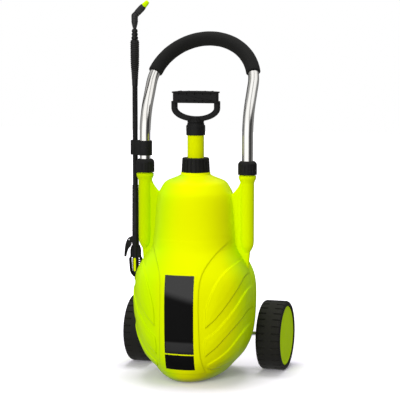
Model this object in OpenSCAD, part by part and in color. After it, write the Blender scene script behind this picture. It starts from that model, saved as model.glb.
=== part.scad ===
// Wheeled sprayer cart: a blow-moulded tank on two wheels, with a hand pump in its neck,
// a U-shaped handle in two side sockets, and a spraying lance clipped to the handle.
// Millimetres, +Z up, +X to the user's right seen from the front, the front faces -Y.
// The origin is on the floor, under the pump's axis.

/* [Tank] */
// Width across the belly, the tank's widest level
belly_w = 276; // [270:1:284]
// Reach of the belly in front of the pump's axis
belly_front = 131; // [126:1:136]
// Reach of the belly behind the pump's axis
belly_back = 126; // [124:1:132]
// Height of the widest level
belly_z = 185; // [178:1:195]
// Width of the upper body
waist_w = 185; // [178:1:190]
// Depth of the upper body
waist_d = 186; // [178:1:190]
// Height at which the belly has narrowed to the upper body
waist_z = 345; // [338:1:352]
// Height at which the shoulder meets the neck
shoulder_z = 466; // [460:1:467]
// Width of the flat foot
foot_w = 84; // [74:1:94]
// Reach of the flat foot in front of the pump's axis
foot_front = 80; // [74:1:86]
// Reach of the flat foot behind the pump's axis
foot_back = 46; // [40:1:52]
// Thickness of the tank's wall
tank_wall = 3.2; // [2.6:0.1:3.8]
// Height of the raised leaf pads on the belly
pad_rise = 2.4; // [1.6:0.1:2.8]

/* [Pump] */
// Outer diameter of the pump cylinder
cylinder_d = 38; // [36:0.5:39]
// Wall of the pump cylinder
cylinder_wall = 3; // [2.5:0.1:3.4]
// Height of the pump cylinder's foot
cylinder_foot_z = 172; // [160:1:190]
// Height of the pump cylinder's top
cylinder_top_z = 580; // [574:1:586]
// Diameter of the piston rod
rod_d = 12; // [10:0.5:13]
// How far the pump handle is pulled up
pump_stroke = 280; // [240:5:300]
// Width of the pump handle
pump_handle_w = 114; // [108:1:122]
// Thickness of the pump handle, front to back
pump_handle_t = 26; // [22:1:30]

/* [Handle] */
// Distance between the two legs of the U-shaped handle
leg_span = 245; // [243:1:248]
// Outer diameter of the handle's tube
tube_d = 25; // [23:0.5:26]
// Wall of the handle's tube
tube_wall = 1.5; // [1.2:0.1:2]
// Height at which the legs lean back
bend_z = 594; // [588:1:606]
// Lean of the upper handle from upright
lean = 31.5; // [28:0.5:34]
// Radius of the bend in each leg
bend_r = 160; // [150:1:165]
// Length of the straight stretch between the bend and the arch, along the lean
lean_run = 90; // [80:1:104]
// Outer diameter of the foam grip
grip_d = 32; // [30:0.5:36]
// How far the handle pulls up out of its sockets
handle_travel = 100; // [80:5:110]

/* [Wheels] */
// Diameter of the wheels
wheel_d = 162; // [156:1:164]
// Width of the tyres
wheel_w = 58; // [52:1:62]
// Distance of the axle behind the pump's axis
axle_y = 110; // [108:1:112]
// Diameter of the axle
axle_d = 10; // [9:0.5:11]
// How far each wheel is tucked in behind the belly's widest level
wheel_tuck = 4.5; // [0:0.5:5]

/* [Lance] */
// Diameter of the lance's outer tube
lance_d = 12; // [11:0.5:12.5]
// Diameter of the inner tube that slides out
inner_tube_d = 7; // [6:0.5:7.5]
// Distance of the lance outside the handle's leg
lance_out = 29; // [28:0.5:32]
// Distance of the lance behind the handle's leg
lance_back = 14; // [12:0.5:16]
// Height of the valve handle's lower tip
valve_z = 214; // [210:1:220]
// Height of the top of the lance's outer tube
lance_top_z = 768; // [760:1:775]
// How far the inner tube slides out
lance_travel = 250; // [200:10:280]

/* [Hidden] */

$fn = 48;
clear = 0.3;            // gap between curved faces that move past each other
seat = 0.1;             // gap round a piece that is pushed into its place
over = 1;               // how far a cut runs past the face that it opens

lime = "#d8f400";
black = "#1c1c1c";
steel = "#c9ccd0";
rubber = "#262626";
grey = "#8b8f94";

function mix(a, b, t) = a + (b - a) * t;
function spline(a, b, c, d, u) =
    0.5 * (2 * b + (c - a) * u + (2 * a - 5 * b + 4 * c - d) * u * u
           + (3 * b - a - 3 * c + d) * u * u * u);
// Points of a curve through a list of knots, with a few points between each two
function curve(knots, steps) =
    let (last = len(knots) - 1)
    [for (i = [0:last - 1], k = [0:steps - 1])
        spline(knots[max(i - 1, 0)], knots[i], knots[i + 1], knots[min(i + 2, last)], k / steps),
     knots[last]];
// Points of an arc about a centre, from one angle to another
function arc(centre, r, from, to, steps = 8) =
    [for (k = [0:steps]) let (a = mix(from, to, k / steps)) centre + r * [cos(a), sin(a)]];

// ---------------------------------------------------------------- tank form
// A level of the tank: height, half width, reach in front, reach behind, squareness
neck_r = 34;
foot_level = [0, foot_w / 2, foot_front, foot_back, 2.1];
belly_level = [belly_z, belly_w / 2, belly_front, belly_back, 2.4];
waist_level = [waist_z, waist_w / 2, waist_d / 2, waist_d / 2, 2.3];
neck_level = [shoulder_z, neck_r, neck_r, neck_r, 2];
// Shares of the way from one level to the next, in height, width, front and back
foot_shares = [[0, 0, 0, 0], [0.016, 0.13, 0.29, 0.18], [0.075, 0.31, 0.61, 0.45],
               [0.195, 0.53, 0.82, 0.76], [0.345, 0.77, 0.94, 0.92], [0.595, 0.95, 1, 0.98]];
belly_shares = [[0, 0, 0, 0], [0.31, 0.09, 0.12, 0.09], [0.54, 0.46, 0.42, 0.36],
                [0.75, 0.88, 0.78, 0.77]];
waist_shares = [[0, 0, 0, 0], [0.43, 0.06, 0.08, 0.08], [0.64, 0.13, 0.14, 0.14],
                [0.78, 0.27, 0.27, 0.27], [0.85, 0.37, 0.37, 0.37], [0.893, 0.5, 0.51, 0.51],
                [0.93, 0.69, 0.7, 0.7], [0.963, 0.86, 0.87, 0.87], [1, 1, 1, 1]];
function levels(from, to, shares) =
    [for (s = shares) [for (i = [0:4]) mix(from[i], to[i], s[i < 4 ? i : 0])]];
tank_levels = concat(levels(foot_level, belly_level, foot_shares),
                     levels(belly_level, waist_level, belly_shares),
                     levels(waist_level, neck_level, waist_shares));
// One point of a rounded-square ring at an angle, with its front and back reach
function ring_point(level, grow, angle) =
    let (n = 2 / level[4], c = cos(angle), s = sin(angle),
         reach = (s < 0 ? level[2] : level[3]) + grow)
    [(level[1] + grow) * sign(c) * pow(abs(c), n), reach * sign(s) * pow(abs(s), n)];
function shoulder_share(z) = max(0, (z - waist_z) / (shoulder_z - waist_z));

// The tank's skin, grown outwards or inwards; with fade, only the front grows
module tank_skin(grow, sides, steps, fade = false) {
    rows = curve(tank_levels, steps);
    points = [for (level = rows, k = [0:sides - 1])
        let (angle = 360 * k / sides, share = fade ? max(0, min(1, -3 * sin(angle))) : 1,
             p = ring_point(level, grow * share, angle))
        [p[0], p[1], level[0] + min(grow, 0) * shoulder_share(level[0]) - (level[0] == 0 ? over : 0)]];
    top = len(rows) - 1;
    walls = [for (i = [0:top - 1], k = [0:sides - 1])
        let (a = i * sides + k, b = i * sides + (k + 1) % sides)
        each [[a, a + sides, b + sides], [a, b + sides, b]]];
    polyhedron(concat(points), concat(walls, [[for (k = [0:sides - 1]) k]],
               [[for (k = [0:sides - 1]) top * sides + sides - 1 - k]]));
}

// Front outlines of the belly's leaf pads and of the shield's edge, seen from the front
leaf_1 = concat(curve([[61, 134], [61.5, 166], [68, 196], [80, 229], [95, 256], [118, 279]], 3),
                [[160, 300], [160, 268]], curve([[134, 262], [126, 228], [114, 202], [98, 176], [81, 153]], 2));
leaf_2 = concat(curve([[59, 68], [57.5, 90], [60, 108]], 2),
                curve([[83, 127], [108, 159], [125, 188], [140, 224]], 2),
                [[160, 240], [160, 180]], curve([[137, 166], [127, 146], [106, 118], [82, 89]], 2));
leaf_3 = concat(curve([[66, 34], [61, 40], [62, 48]], 2),
                curve([[84, 63], [104, 81], [124, 110], [138, 134]], 2),
                [[160, 150], [160, 70]], [[124, 62], [104, 48], [84, 38]]);
shield_edge = curve([[93, 322], [85, 311], [72, 294], [58, 271], [49.5, 249], [46, 224], [45, 185],
                     [45.5, 150], [46.5, 116], [48, 69], [54, 26]], 3);
skin_sides = 48;        // corners of each level of the tank
edge_groove = 1.2;      // depth of the groove along the shield's edge
edge_half = 1.3;        // half of that groove's width

module seen_from_front(depth) {
    rotate([90, 0, 0]) linear_extrude(depth) children();
}

module belly_pads() {
    intersection() {
        tank_skin(pad_rise, skin_sides, 2, fade = true);
        for (side = [0, 1]) mirror([side, 0, 0])
            for (leaf = [leaf_1, leaf_2, leaf_3]) seen_from_front(belly_front + 2 * pad_rise) polygon(leaf);
    }
}

module shield_groove() {
    inner = [for (p = shield_edge) p - [edge_half, 0]];
    outer = [for (i = [len(shield_edge) - 1:-1:0]) shield_edge[i] + [edge_half, 0]];
    difference() {
        for (side = [0, 1]) mirror([side, 0, 0])
            seen_from_front(belly_front + 2 * pad_rise) polygon(concat(inner, outer));
        tank_skin(-edge_groove, skin_sides, 2);
    }
}

// ---------------------------------------------------------------- sockets for the handle
leg_x = leg_span / 2;
tube_r = tube_d / 2;
socket_bore = tube_r + clear + 0.2;
socket_r = socket_bore + 2.5;
socket_floor_z = 318;   // where the socket's bore ends
tip_r = 9;              // round lower tip of a socket
tip_drop = 21;          // from the bore's floor down to the tip's centre
socket_top_z = 486;     // top of the threaded stub under the clamp nut
socket_ring_z = 466;    // top of the flared ring under the clamp nut
stub_r = socket_bore + 4;
web_t = 12;

module socket_form() {
    flare_r = stub_r + 3;
    translate([leg_x, 0, 0]) rotate_extrude() polygon(concat(
        arc([0, socket_floor_z - tip_drop], tip_r, -90, -20, 5),
        [[socket_r, socket_floor_z - 4], [socket_r, socket_ring_z - 14], [flare_r - 0.8, socket_ring_z - 7],
         [flare_r, socket_ring_z - 4], [flare_r, socket_ring_z - 1], [flare_r - 1, socket_ring_z],
         [stub_r, socket_ring_z], [stub_r, socket_top_z], [0, socket_top_z]]));
}

module web_form() {
    inside = waist_w / 2 - 22;
    beside = leg_x - socket_r + over;
    foot = belly_z + 63;    // where the web runs out into the belly
    translate([0, web_t / 2, 0]) rotate([90, 0, 0]) linear_extrude(web_t) polygon(concat(
        [[inside, socket_ring_z - 46]],
        curve([[beside - 20, socket_ring_z - 40], [beside - 9, socket_ring_z - 31],
               [beside - 3, socket_ring_z - 22], [beside, socket_ring_z - 13]], 2),
        [[leg_x, socket_ring_z - 14], [leg_x, socket_floor_z - 10], [leg_x + 8, socket_floor_z - 20],
         [leg_x + 6, foot], [inside, foot]]));
}

// ---------------------------------------------------------------- neck, heel and bosses
neck_ring_z = 468;      // top of the ring under the pump nut
neck_top_z = 490;       // rim that the pump hangs on
neck_thread_r = 28;
neck_bore_r = cylinder_d / 2 + 5;
heel_z = wheel_d / 2;   // height of the axle
heel_depth = 18;        // solid plastic round the axle channel
heel_half_w = 66;
heel_half_h = 27;
heel_face_y = axle_y + 8;
channel_r = axle_d / 2 + seat;
outlet_x = -36;
relief_x = 36;
boss_z = 392;           // height of the outlet and the relief valve on the back
boss_face_y = waist_d / 2 + 1;
boss_r = 15;
boss_hole_r = 7;
boss_wall = 8;          // plastic between a boss's outer and inner face
flat_r = 12;            // flat round inside a boss, for a fitting's flange

module tank_mesh() {
    difference() {
        union() {
            difference() {
                tank_skin(0, skin_sides, 2);
                shield_groove();
            }
            belly_pads();
            for (side = [0, 1]) mirror([side, 0, 0]) {
                socket_form();
                web_form();
            }
            translate([0, 0, shoulder_z - 4]) cylinder(r = neck_r - 0.6, h = neck_ring_z - shoulder_z + 4);
            translate([0, 0, neck_ring_z - over]) cylinder(r = neck_thread_r, h = neck_top_z - neck_ring_z + over);
            for (x = [outlet_x, relief_x])
                translate([x, boss_face_y, boss_z]) rotate([90, 0, 0]) cylinder(r = boss_r, h = boss_wall + 10);
        }
        difference() {
            union() {
                intersection() {
                    tank_skin(-tank_wall, 28, 1);
                    translate([-belly_w, -belly_w, tank_wall]) cube([2 * belly_w, 2 * belly_w, shoulder_z]);
                }
                translate([0, 0, shoulder_z - 20]) cylinder(r = neck_bore_r - 1, h = 60);
                for (x = [outlet_x, relief_x])
                    translate([x, boss_face_y - boss_wall + over, boss_z]) rotate([90, 0, 0])
                        cylinder(r = flat_r, h = 20);
            }
            translate([-heel_half_w - 8, heel_face_y - heel_depth, -over])
                cube([2 * heel_half_w + 16, 60, heel_z + heel_half_h + 8]);
            for (x = [outlet_x, relief_x])
                translate([x, boss_face_y, boss_z]) rotate([90, 0, 0]) cylinder(r = boss_r, h = boss_wall);
        }
    }
}

clip_x = 48;            // axle clips, each side of the middle
clip_screw_dz = 16;     // clip screws above and below the axle
pilot_r = 1.9;

// The resize leaves every size alone: it has the curved parts meshed together, in one go
module tank() color(lime) difference() {
    resize([0, 0, 0]) tank_mesh();
    translate([-belly_w, -belly_w, -20]) cube([2 * belly_w, 2 * belly_w, 20]);
    translate([0, 0, shoulder_z - 30]) cylinder(r = neck_bore_r, h = 80);
    for (side = [-1, 1]) translate([side * leg_x, 0, socket_floor_z]) {
        cylinder(r = socket_bore, h = socket_top_z - socket_floor_z + over);
    }
    for (x = [outlet_x, relief_x])
        translate([x, boss_face_y + over, boss_z]) rotate([90, 0, 0]) cylinder(r = boss_hole_r, h = 20);
    translate([-heel_half_w, heel_face_y, heel_z - heel_half_h]) cube([2 * heel_half_w, 40, 2 * heel_half_h]);
    translate([-belly_w / 2, axle_y, heel_z]) rotate([0, 90, 0]) cylinder(r = channel_r, h = belly_w);
    translate([-belly_w / 2, axle_y, heel_z - channel_r]) cube([belly_w, 40, 2 * channel_r]);
    for (side = [-1, 1], up = [-1, 1])
        translate([side * clip_x, heel_face_y + over, heel_z + up * clip_screw_dz])
            rotate([90, 0, 0]) cylinder(r = pilot_r, h = 13);
}

// ---------------------------------------------------------------- label
label_w = 68;
label_low_z = 36;
label_high_z = 250;
label_gap_z = 70;       // thin line of bare tank across the label
label_t = 0.6;
label_gap = 0.15;       // glue line between the film and the tank's skin

// A film on the tank's front between two heights, as a closed sheet of label_t thickness
module film(low, high) {
    rows = [for (level = curve(tank_levels, 4)) if (level[0] > low && level[0] < high) level];
    ends = concat([level_at(low)], rows, [level_at(high)]);
    columns = 8;
    count = len(ends) * (columns + 1);
    function reach(level, x, grow) =
        (level[2] + grow) * pow(1 - pow(abs(x) / (level[1] + grow), level[4]), 1 / level[4]);
    points = [for (grow = [label_gap, label_gap + label_t], level = ends, k = [0:columns])
        let (x = label_w * (k / columns - 0.5)) [x, -reach(level, x, grow), level[0]]];
    function cell(i, k, side) = side * count + i * (columns + 1) + k;
    last = len(ends) - 1;
    polyhedron(points, concat(
        [for (i = [0:last - 1], k = [0:columns - 1]) each [
            [cell(i, k, 0), cell(i, k + 1, 0), cell(i + 1, k + 1, 0)],
            [cell(i, k, 0), cell(i + 1, k + 1, 0), cell(i + 1, k, 0)],
            [cell(i, k, 1), cell(i + 1, k + 1, 1), cell(i, k + 1, 1)],
            [cell(i, k, 1), cell(i + 1, k, 1), cell(i + 1, k + 1, 1)]]],
        [for (k = [0:columns - 1]) each [
            [cell(0, k, 0), cell(0, k, 1), cell(0, k + 1, 1), cell(0, k + 1, 0)],
            [cell(last, k, 0), cell(last, k + 1, 0), cell(last, k + 1, 1), cell(last, k, 1)]]],
        [for (i = [0:last - 1]) each [
            [cell(i, 0, 0), cell(i + 1, 0, 0), cell(i + 1, 0, 1), cell(i, 0, 1)],
            [cell(i, columns, 0), cell(i, columns, 1), cell(i + 1, columns, 1), cell(i + 1, columns, 0)]]]));
}
// The tank's level at a height, between its nearest two
function level_at(z) =
    let (rows = curve(tank_levels, 4), i = max([for (k = [0:len(rows) - 2]) if (rows[k][0] <= z) k]))
    mix(rows[i], rows[i + 1], (z - rows[i][0]) / (rows[i + 1][0] - rows[i][0]));

module front_label() color(black)
    for (band = [[label_low_z, label_gap_z], [label_gap_z + 3, label_high_z]]) film(band[0], band[1]);

// ---------------------------------------------------------------- outlet and dip tube
outlet_shank_r = boss_hole_r - seat;
dip_y = 60;
dip_r = 5;
dip_wall = 1.2;
dip_foot_z = 26;
filter_r = 8;
filter_floor = 6;       // from the filter's foot to the end of the dip tube
elbow_r = 7;
elbow_drop = 22;        // from the outlet's axis down to the elbow's mouth
dip_seat = 12;          // how deep the dip tube sits in the elbow
waterway_r = 2.4;
flange_inside_t = 3;
spigot_r = 4;
spigot_len = 18;
collar_t = 6;
outlet_nut_t = 7;
seal_t = 2;
shank_out = outlet_nut_t + seal_t + 3;      // how far the shank stands out of the boss

// Places its children on a boss of the tank's back, with Z pointing out of the tank
module at_boss(x) {
    translate([x, boss_face_y, boss_z]) rotate([-90, 0, 0]) children();
}

module outlet_fitting() color(black) {
    inside = -boss_wall - seat;             // where the inside flange starts
    difference() {
        union() {
            at_boss(outlet_x) {
                translate([0, 0, inside - 5]) cylinder(r = outlet_shank_r, h = shank_out - inside + 5);
                translate([0, 0, inside - flange_inside_t]) cylinder(r = flat_r - 1, h = flange_inside_t);
                translate([0, 0, shank_out]) cylinder(r = 2 * spigot_r, h = collar_t);
                translate([0, 0, shank_out - 2]) cylinder(r = spigot_r, h = 2 + collar_t + spigot_len);
                translate([0, 0, dip_y - boss_face_y]) cylinder(r = elbow_r, h = boss_face_y - dip_y + inside - 2);
            }
            translate([outlet_x, dip_y, boss_z]) sphere(r = elbow_r);
            translate([outlet_x, dip_y, boss_z - elbow_drop]) cylinder(r = elbow_r, h = elbow_drop);
        }
        at_boss(outlet_x) translate([0, 0, dip_y - boss_face_y]) cylinder(r = waterway_r, h = 100);
        translate([outlet_x, dip_y, boss_z - elbow_drop - over]) {
            cylinder(r = waterway_r, h = elbow_drop + over);
            cylinder(r = dip_r + seat, h = dip_seat + over);
        }
    }
}

module outlet_nut() color(black) at_boss(outlet_x) translate([0, 0, seal_t]) difference() {
    cylinder(r = 13, h = outlet_nut_t, $fn = 6);
    translate([0, 0, -over]) cylinder(r = outlet_shank_r + seat, h = outlet_nut_t + 2 * over);
}

module outlet_seal() color(rubber) at_boss(outlet_x) difference() {
    cylinder(r = flat_r, h = seal_t);
    translate([0, 0, -over]) cylinder(r = outlet_shank_r + seat, h = seal_t + 2 * over);
}

module dip_tube() color(grey) {
    low = dip_foot_z + filter_floor;
    translate([outlet_x, dip_y, low]) difference() {
        cylinder(r = dip_r, h = boss_z - elbow_drop + dip_seat - low);
        translate([0, 0, -over]) cylinder(r = dip_r - dip_wall, h = boss_z);
    }
}

module dip_filter() color(black) {
    slots = 8;
    translate([outlet_x, dip_y, dip_foot_z]) difference() {
        cylinder(r = filter_r, h = 26);
        translate([0, 0, 2]) cylinder(r = filter_r - 1.6, h = 12);
        translate([0, 0, filter_floor]) cylinder(r = dip_r + seat, h = 30);
        for (k = [0:slots - 1]) rotate([0, 0, k * 360 / slots]) translate([filter_r / 2, -1, 3])
            cube([filter_r, 2, 10]);
    }
}

// ---------------------------------------------------------------- relief valve
relief_flange_r = 11;
relief_body_r = 8;
relief_bore_r = 6;
relief_top = 18;        // top of the valve's body above the boss
plug_r = relief_bore_r - 0.4;
plug_low = 10;          // foot of the knob's plug, on the spring
knob_low = relief_top + 1;
knob_t = 5;
knob_grips = 10;

module relief_body() color(black) at_boss(relief_x) difference() {
    union() {
        translate([0, 0, -boss_wall - 4]) cylinder(r = boss_hole_r - seat, h = boss_wall + 9);
        translate([0, 0, seal_t]) cylinder(r = relief_flange_r, h = 4);
        translate([0, 0, seal_t + 4]) cylinder(r = relief_body_r, h = relief_top - seal_t - 4);
    }
    translate([0, 0, -boss_wall - 5]) cylinder(r = 2.2, h = 40);
    cylinder(r = relief_bore_r, h = 30);
}

module relief_seal() color(rubber) at_boss(relief_x) difference() {
    cylinder(r = relief_flange_r, h = seal_t);
    translate([0, 0, -over]) cylinder(r = boss_hole_r, h = seal_t + 2 * over);
}

// The coil stands as a plain sleeve between the valve's floor and the knob's plug
module relief_spring() color(steel) at_boss(relief_x) difference() {
    translate([0, 0, seat]) cylinder(r = relief_bore_r - 0.8, h = plug_low - 2 * seat);
    translate([0, 0, -over]) cylinder(r = relief_bore_r - 2, h = plug_low + 2 * over);
}

module relief_knob() color("#c8211b") at_boss(relief_x) difference() {
    union() {
        translate([0, 0, plug_low]) cylinder(r = plug_r, h = knob_low - plug_low + knob_t);
        translate([0, 0, knob_low]) cylinder(r = 12, h = knob_t);
    }
    for (k = [0:knob_grips - 1]) rotate([0, 0, k * 360 / knob_grips])
        translate([13, 0, knob_low - over]) cylinder(r = 2.2, h = knob_t + 2 * over);
}

// ---------------------------------------------------------------- axle and its clips
wheel_in_x = belly_w / 2 - wheel_tuck;
wheel_out_x = wheel_in_x + wheel_w;
axle_half = wheel_out_x - 7;
axle_r = axle_d / 2;
clip_w = 18;
clip_t = 3;
clip_h = 2 * clip_screw_dz + 13;
screw_r = pilot_r - seat;

module axle() color(steel) {
    translate([-axle_half, axle_y, heel_z]) rotate([0, 90, 0]) cylinder(r = axle_r, h = 2 * axle_half);
}

// Rings pressed onto the axle just inside each wheel's hub
module axle_rings() color(steel) for (side = [-1, 1]) mirror([side < 0 ? 1 : 0, 0, 0])
    translate([wheel_in_x - 2.3, axle_y, heel_z]) rotate([0, 90, 0]) difference() {
        cylinder(r = axle_r + 4, h = 3);
        translate([0, 0, -over]) cylinder(r = axle_r + 0.02, h = 3 + 2 * over);
    }

module axle_clips() color(black) for (side = [-1, 1]) translate([side * clip_x, heel_face_y, heel_z]) {
    difference() {
        union() {
            translate([-clip_w / 2, 0, -clip_h / 2]) cube([clip_w, clip_t, clip_h]);
            translate([-clip_w / 2, -(heel_face_y - axle_y), -channel_r + seat])
                cube([clip_w, heel_face_y - axle_y + 0.01, 2 * (channel_r - seat)]);
            for (up = [-1, 1]) translate([-clip_w / 2, clip_t - 0.01, up * 7 - 1.2]) cube([clip_w, 2, 2.4]);
        }
        translate([-clip_w, axle_y - heel_face_y, 0]) rotate([0, 90, 0]) cylinder(r = axle_r + 0.02, h = 2 * clip_w);
        for (up = [-1, 1]) translate([0, clip_t + over, up * clip_screw_dz]) rotate([90, 0, 0])
            cylinder(r = screw_r + 0.4, h = clip_t + 2 * over);
    }
}

module clip_screws() color(steel)
    for (side = [-1, 1], up = [-1, 1])
        translate([side * clip_x, heel_face_y + clip_t, heel_z + up * clip_screw_dz]) rotate([90, 0, 0]) {
            cylinder(r = screw_r, h = 14);
            translate([0, 0, -2.6]) difference() {
                cylinder(r = 4, h = 2.6);
                translate([0, 0, -over]) cylinder(r = 1.6, h = over + 1.4, $fn = 6);
            }
        }

// ---------------------------------------------------------------- wheels
wheel_r = wheel_d / 2;
tyre_t = 11;            // thickness of the tyre over the rim
rim_r = wheel_r - tyre_t;
hub_r = 15;
hub_bore = axle_r + clear;
rim_wall = 3;
cover_seat = 6;         // the rim's outer lip lies this far inside the tyre's outer face
tread_count = 30;
groove_len = 17;
groove_w = 3;
groove_deep = 2.2;

// Wheel pieces are drawn round X, with the outer face at x = wheel_w and the inner one at 0
module wheel_place(side) {
    mirror([side < 0 ? 1 : 0, 0, 0]) translate([wheel_in_x, axle_y, heel_z]) children();
}

module tyre() {
    shoulder = 7;
    difference() {
        rotate([0, 90, 0]) rotate_extrude() polygon(concat(
            [[rim_r, 0]], arc([wheel_r - shoulder, shoulder], shoulder, -90, 0, 5),
            arc([wheel_r - shoulder, wheel_w - shoulder], shoulder, 0, 90, 5), [[rim_r, wheel_w]]));
        for (k = [0:tread_count - 1], row = [0, 1])
            rotate([k * 360 / tread_count, 0, 0])
                translate([row == 0 ? 3 : wheel_w - 3 - groove_len, -groove_w / 2, wheel_r - groove_deep])
                    cube([groove_len, groove_w, groove_deep + over]);
    }
}

module rim() {
    disc_x = wheel_w - 14;
    difference() {
        rotate([0, 90, 0]) rotate_extrude() polygon([
            [hub_bore, 1], [hub_r, 1], [hub_r, disc_x], [rim_r - rim_wall, disc_x], [rim_r - rim_wall, 1],
            [rim_r, 1], [rim_r, wheel_w - cover_seat], [rim_r - rim_wall, wheel_w - cover_seat],
            [rim_r - rim_wall, disc_x + 4],
            [hub_r, disc_x + 4], [hub_bore, disc_x + 4]]);
        for (k = [0:5]) rotate([k * 60 + 30, 0, 0]) translate([disc_x - over, 0, (hub_r + rim_r) / 2])
            rotate([0, 90, 0]) cylinder(r = 13, h = 8);
    }
    for (k = [0:5]) rotate([k * 60, 0, 0])
        translate([4, -1.5, hub_r - 0.5]) cube([disc_x - 3.9, 3, rim_r - rim_wall - hub_r + 1]);
}

// A domed disc with a raised edge, whose collar snaps inside the rim
module cover() {
    inner = rim_r - rim_wall - seat;
    outer = rim_r - seat;
    rotate([0, 90, 0]) rotate_extrude() polygon([
        [0, wheel_w - 4.6], [inner - 4, wheel_w - 4.6], [inner - 4, wheel_w - 9], [inner, wheel_w - 9],
        [inner, wheel_w - cover_seat], [outer, wheel_w - cover_seat], [outer, wheel_w - 3.6],
        [outer - 1.4, wheel_w - 2.4], [outer - 7, wheel_w - 2.4], [outer - 9, wheel_w - 3.2], [0, wheel_w - 1.6]]);
}

module push_nut() {
    tip = axle_half - wheel_in_x;
    rotate([0, 90, 0]) difference() {
        translate([0, 0, tip - 2.7]) cylinder(r = 9, h = 2.2);
        cylinder(r = axle_r, h = 2 * wheel_w);
    }
}

module left_tyre() color(rubber) wheel_place(-1) tyre();
module right_tyre() color(rubber) wheel_place(1) tyre();
module left_rim() color(black) wheel_place(-1) rim();
module right_rim() color(black) wheel_place(1) rim();
module left_cover() color(lime) wheel_place(-1) cover();
module right_cover() color(lime) wheel_place(1) cover();
module left_push_nut() color(steel) wheel_place(-1) push_nut();
module right_push_nut() color(steel) wheel_place(1) push_nut();

// ---------------------------------------------------------------- clamp nuts and collets
clamp_low_z = socket_ring_z + 2;
clamp_top_z = 499;
clamp_r = 21.5;
collet_top_z = socket_top_z + 8;

module clamp_nut() {
    difference() {
        rotate_extrude() polygon(concat(
            [[stub_r + clear, clamp_low_z], [clamp_r, clamp_low_z]],
            arc([clamp_r - 5, clamp_top_z - 5], 5, 0, 90, 5),
            [[tube_r + clear, clamp_top_z], [tube_r + clear, collet_top_z + clear],
             [stub_r + clear, collet_top_z + clear]]));
        for (a = [0:20:359]) rotate([0, 0, a])
            translate([clamp_r - 0.8, -1, clamp_low_z - over]) cube([2, 2, clamp_top_z - clamp_low_z - 4]);
    }
}

module collet() {
    difference() {
        translate([0, 0, socket_top_z]) rotate_extrude() polygon([
            [tube_r + clear, 0], [stub_r, 0], [stub_r, 3], [tube_r + 1.8, 8], [tube_r + clear, 8]]);
        for (a = [0:60:359]) rotate([0, 0, a])
            translate([tube_r - over, -0.8, socket_top_z + 3]) cube([8, 1.6, 6]);
        translate([tube_r - over, -0.8, socket_top_z - over]) cube([8, 1.6, 12]);
    }
}

module left_clamp_nut() color(black) translate([-leg_x, 0, 0]) clamp_nut();
module right_clamp_nut() color(black) translate([leg_x, 0, 0]) clamp_nut();
module left_collet() color(grey) translate([-leg_x, 0, 0]) collet();
module right_collet() color(grey) translate([leg_x, 0, 0]) collet();

// ---------------------------------------------------------------- U-shaped handle
leg_foot_z = 322;       // lower ends of the legs, with the handle pushed down
bend_reach = bend_r * tan(lean / 2);
grip_from = 14.5;       // the foam stops this far above each end of the arch
plug_flange = 2.5;

module ring(outer, inner) {
    difference() {
        circle(r = outer);
        circle(r = inner);
    }
}

// Places its children in the leaning frame, with Z along the lean from the bend's corner
module lean_frame() {
    translate([0, 0, bend_z]) rotate([-lean, 0, 0]) children();
}

module arch(outer, inner, from, to) {
    translate([0, 0, lean_run]) rotate([90, 0, 0]) rotate([0, 0, from])
        rotate_extrude(angle = to - from, $fn = 96) translate([leg_x, 0]) ring(outer, inner);
}

// Two bent legs and a bow, butted end to end above the bends
module handle_tube() color(steel) {
    for (side = [-1, 1]) {
        translate([side * leg_x, 0, leg_foot_z])
            linear_extrude(bend_z - bend_reach - leg_foot_z) ring(tube_r, tube_r - tube_wall);
        translate([side * leg_x, bend_r, bend_z - bend_reach]) rotate([90, 0, -90])
            rotate_extrude(angle = lean, $fn = 96) translate([bend_r, 0]) ring(tube_r, tube_r - tube_wall);
        lean_frame() translate([side * leg_x, 0, bend_reach])
            linear_extrude(lean_run - bend_reach) ring(tube_r, tube_r - tube_wall);
    }
    lean_frame() arch(tube_r, tube_r - tube_wall, 0, 180);
}

module foam_grip() color(rubber) lean_frame() arch(grip_d / 2, tube_r + seat, grip_from, 180 - grip_from);

module leg_plugs() color(black) for (side = [-1, 1]) translate([side * leg_x, 0, 0]) difference() {
    union() {
        translate([0, 0, leg_foot_z - plug_flange]) cylinder(r = tube_r, h = plug_flange);
        translate([0, 0, leg_foot_z - over]) cylinder(r = tube_r - tube_wall - seat, h = 14 + over);
    }
    translate([0, 0, leg_foot_z]) cylinder(r = tube_r - tube_wall - 3, h = 20);
}

// ---------------------------------------------------------------- clip that holds the lance
lance_x = -leg_x - lance_out;
lance_y = lance_back;
lance_r = lance_d / 2;
clip_low_z = 507;
clip_high_z = 541;
sleeve_r = tube_r + 4;
fork_gap = lance_r + clear;
fork_wall = 3.4;
lug_half = 5;           // the clamp lug behind the leg, half its width
lug_reach = 13;
lug_slit = 1.6;
clip_mid_z = (clip_low_z + clip_high_z) / 2;
bolt_y = tube_r + 9;
bolt_r = 2.5;

module fork_outline() {
    difference() {
        union() {
            translate([lance_x, lance_y]) circle(r = fork_gap + fork_wall);
            translate([lance_x - fork_gap - 5, lance_y - fork_gap - fork_wall])
                square([fork_gap + 5, 2 * (fork_gap + fork_wall)]);
            polygon([[lance_x + 2, lance_y - 8], [-leg_x - 2, -tube_r - 1], [-leg_x + 6, tube_r + 1],
                     [lance_x + 2, lance_y + 8]]);
        }
        translate([lance_x, lance_y]) circle(r = fork_gap);
        translate([lance_x - 40, lance_y - fork_gap]) square([40, 2 * fork_gap]);
        translate([-leg_x, 0]) circle(r = tube_r + seat);
    }
}

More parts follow.
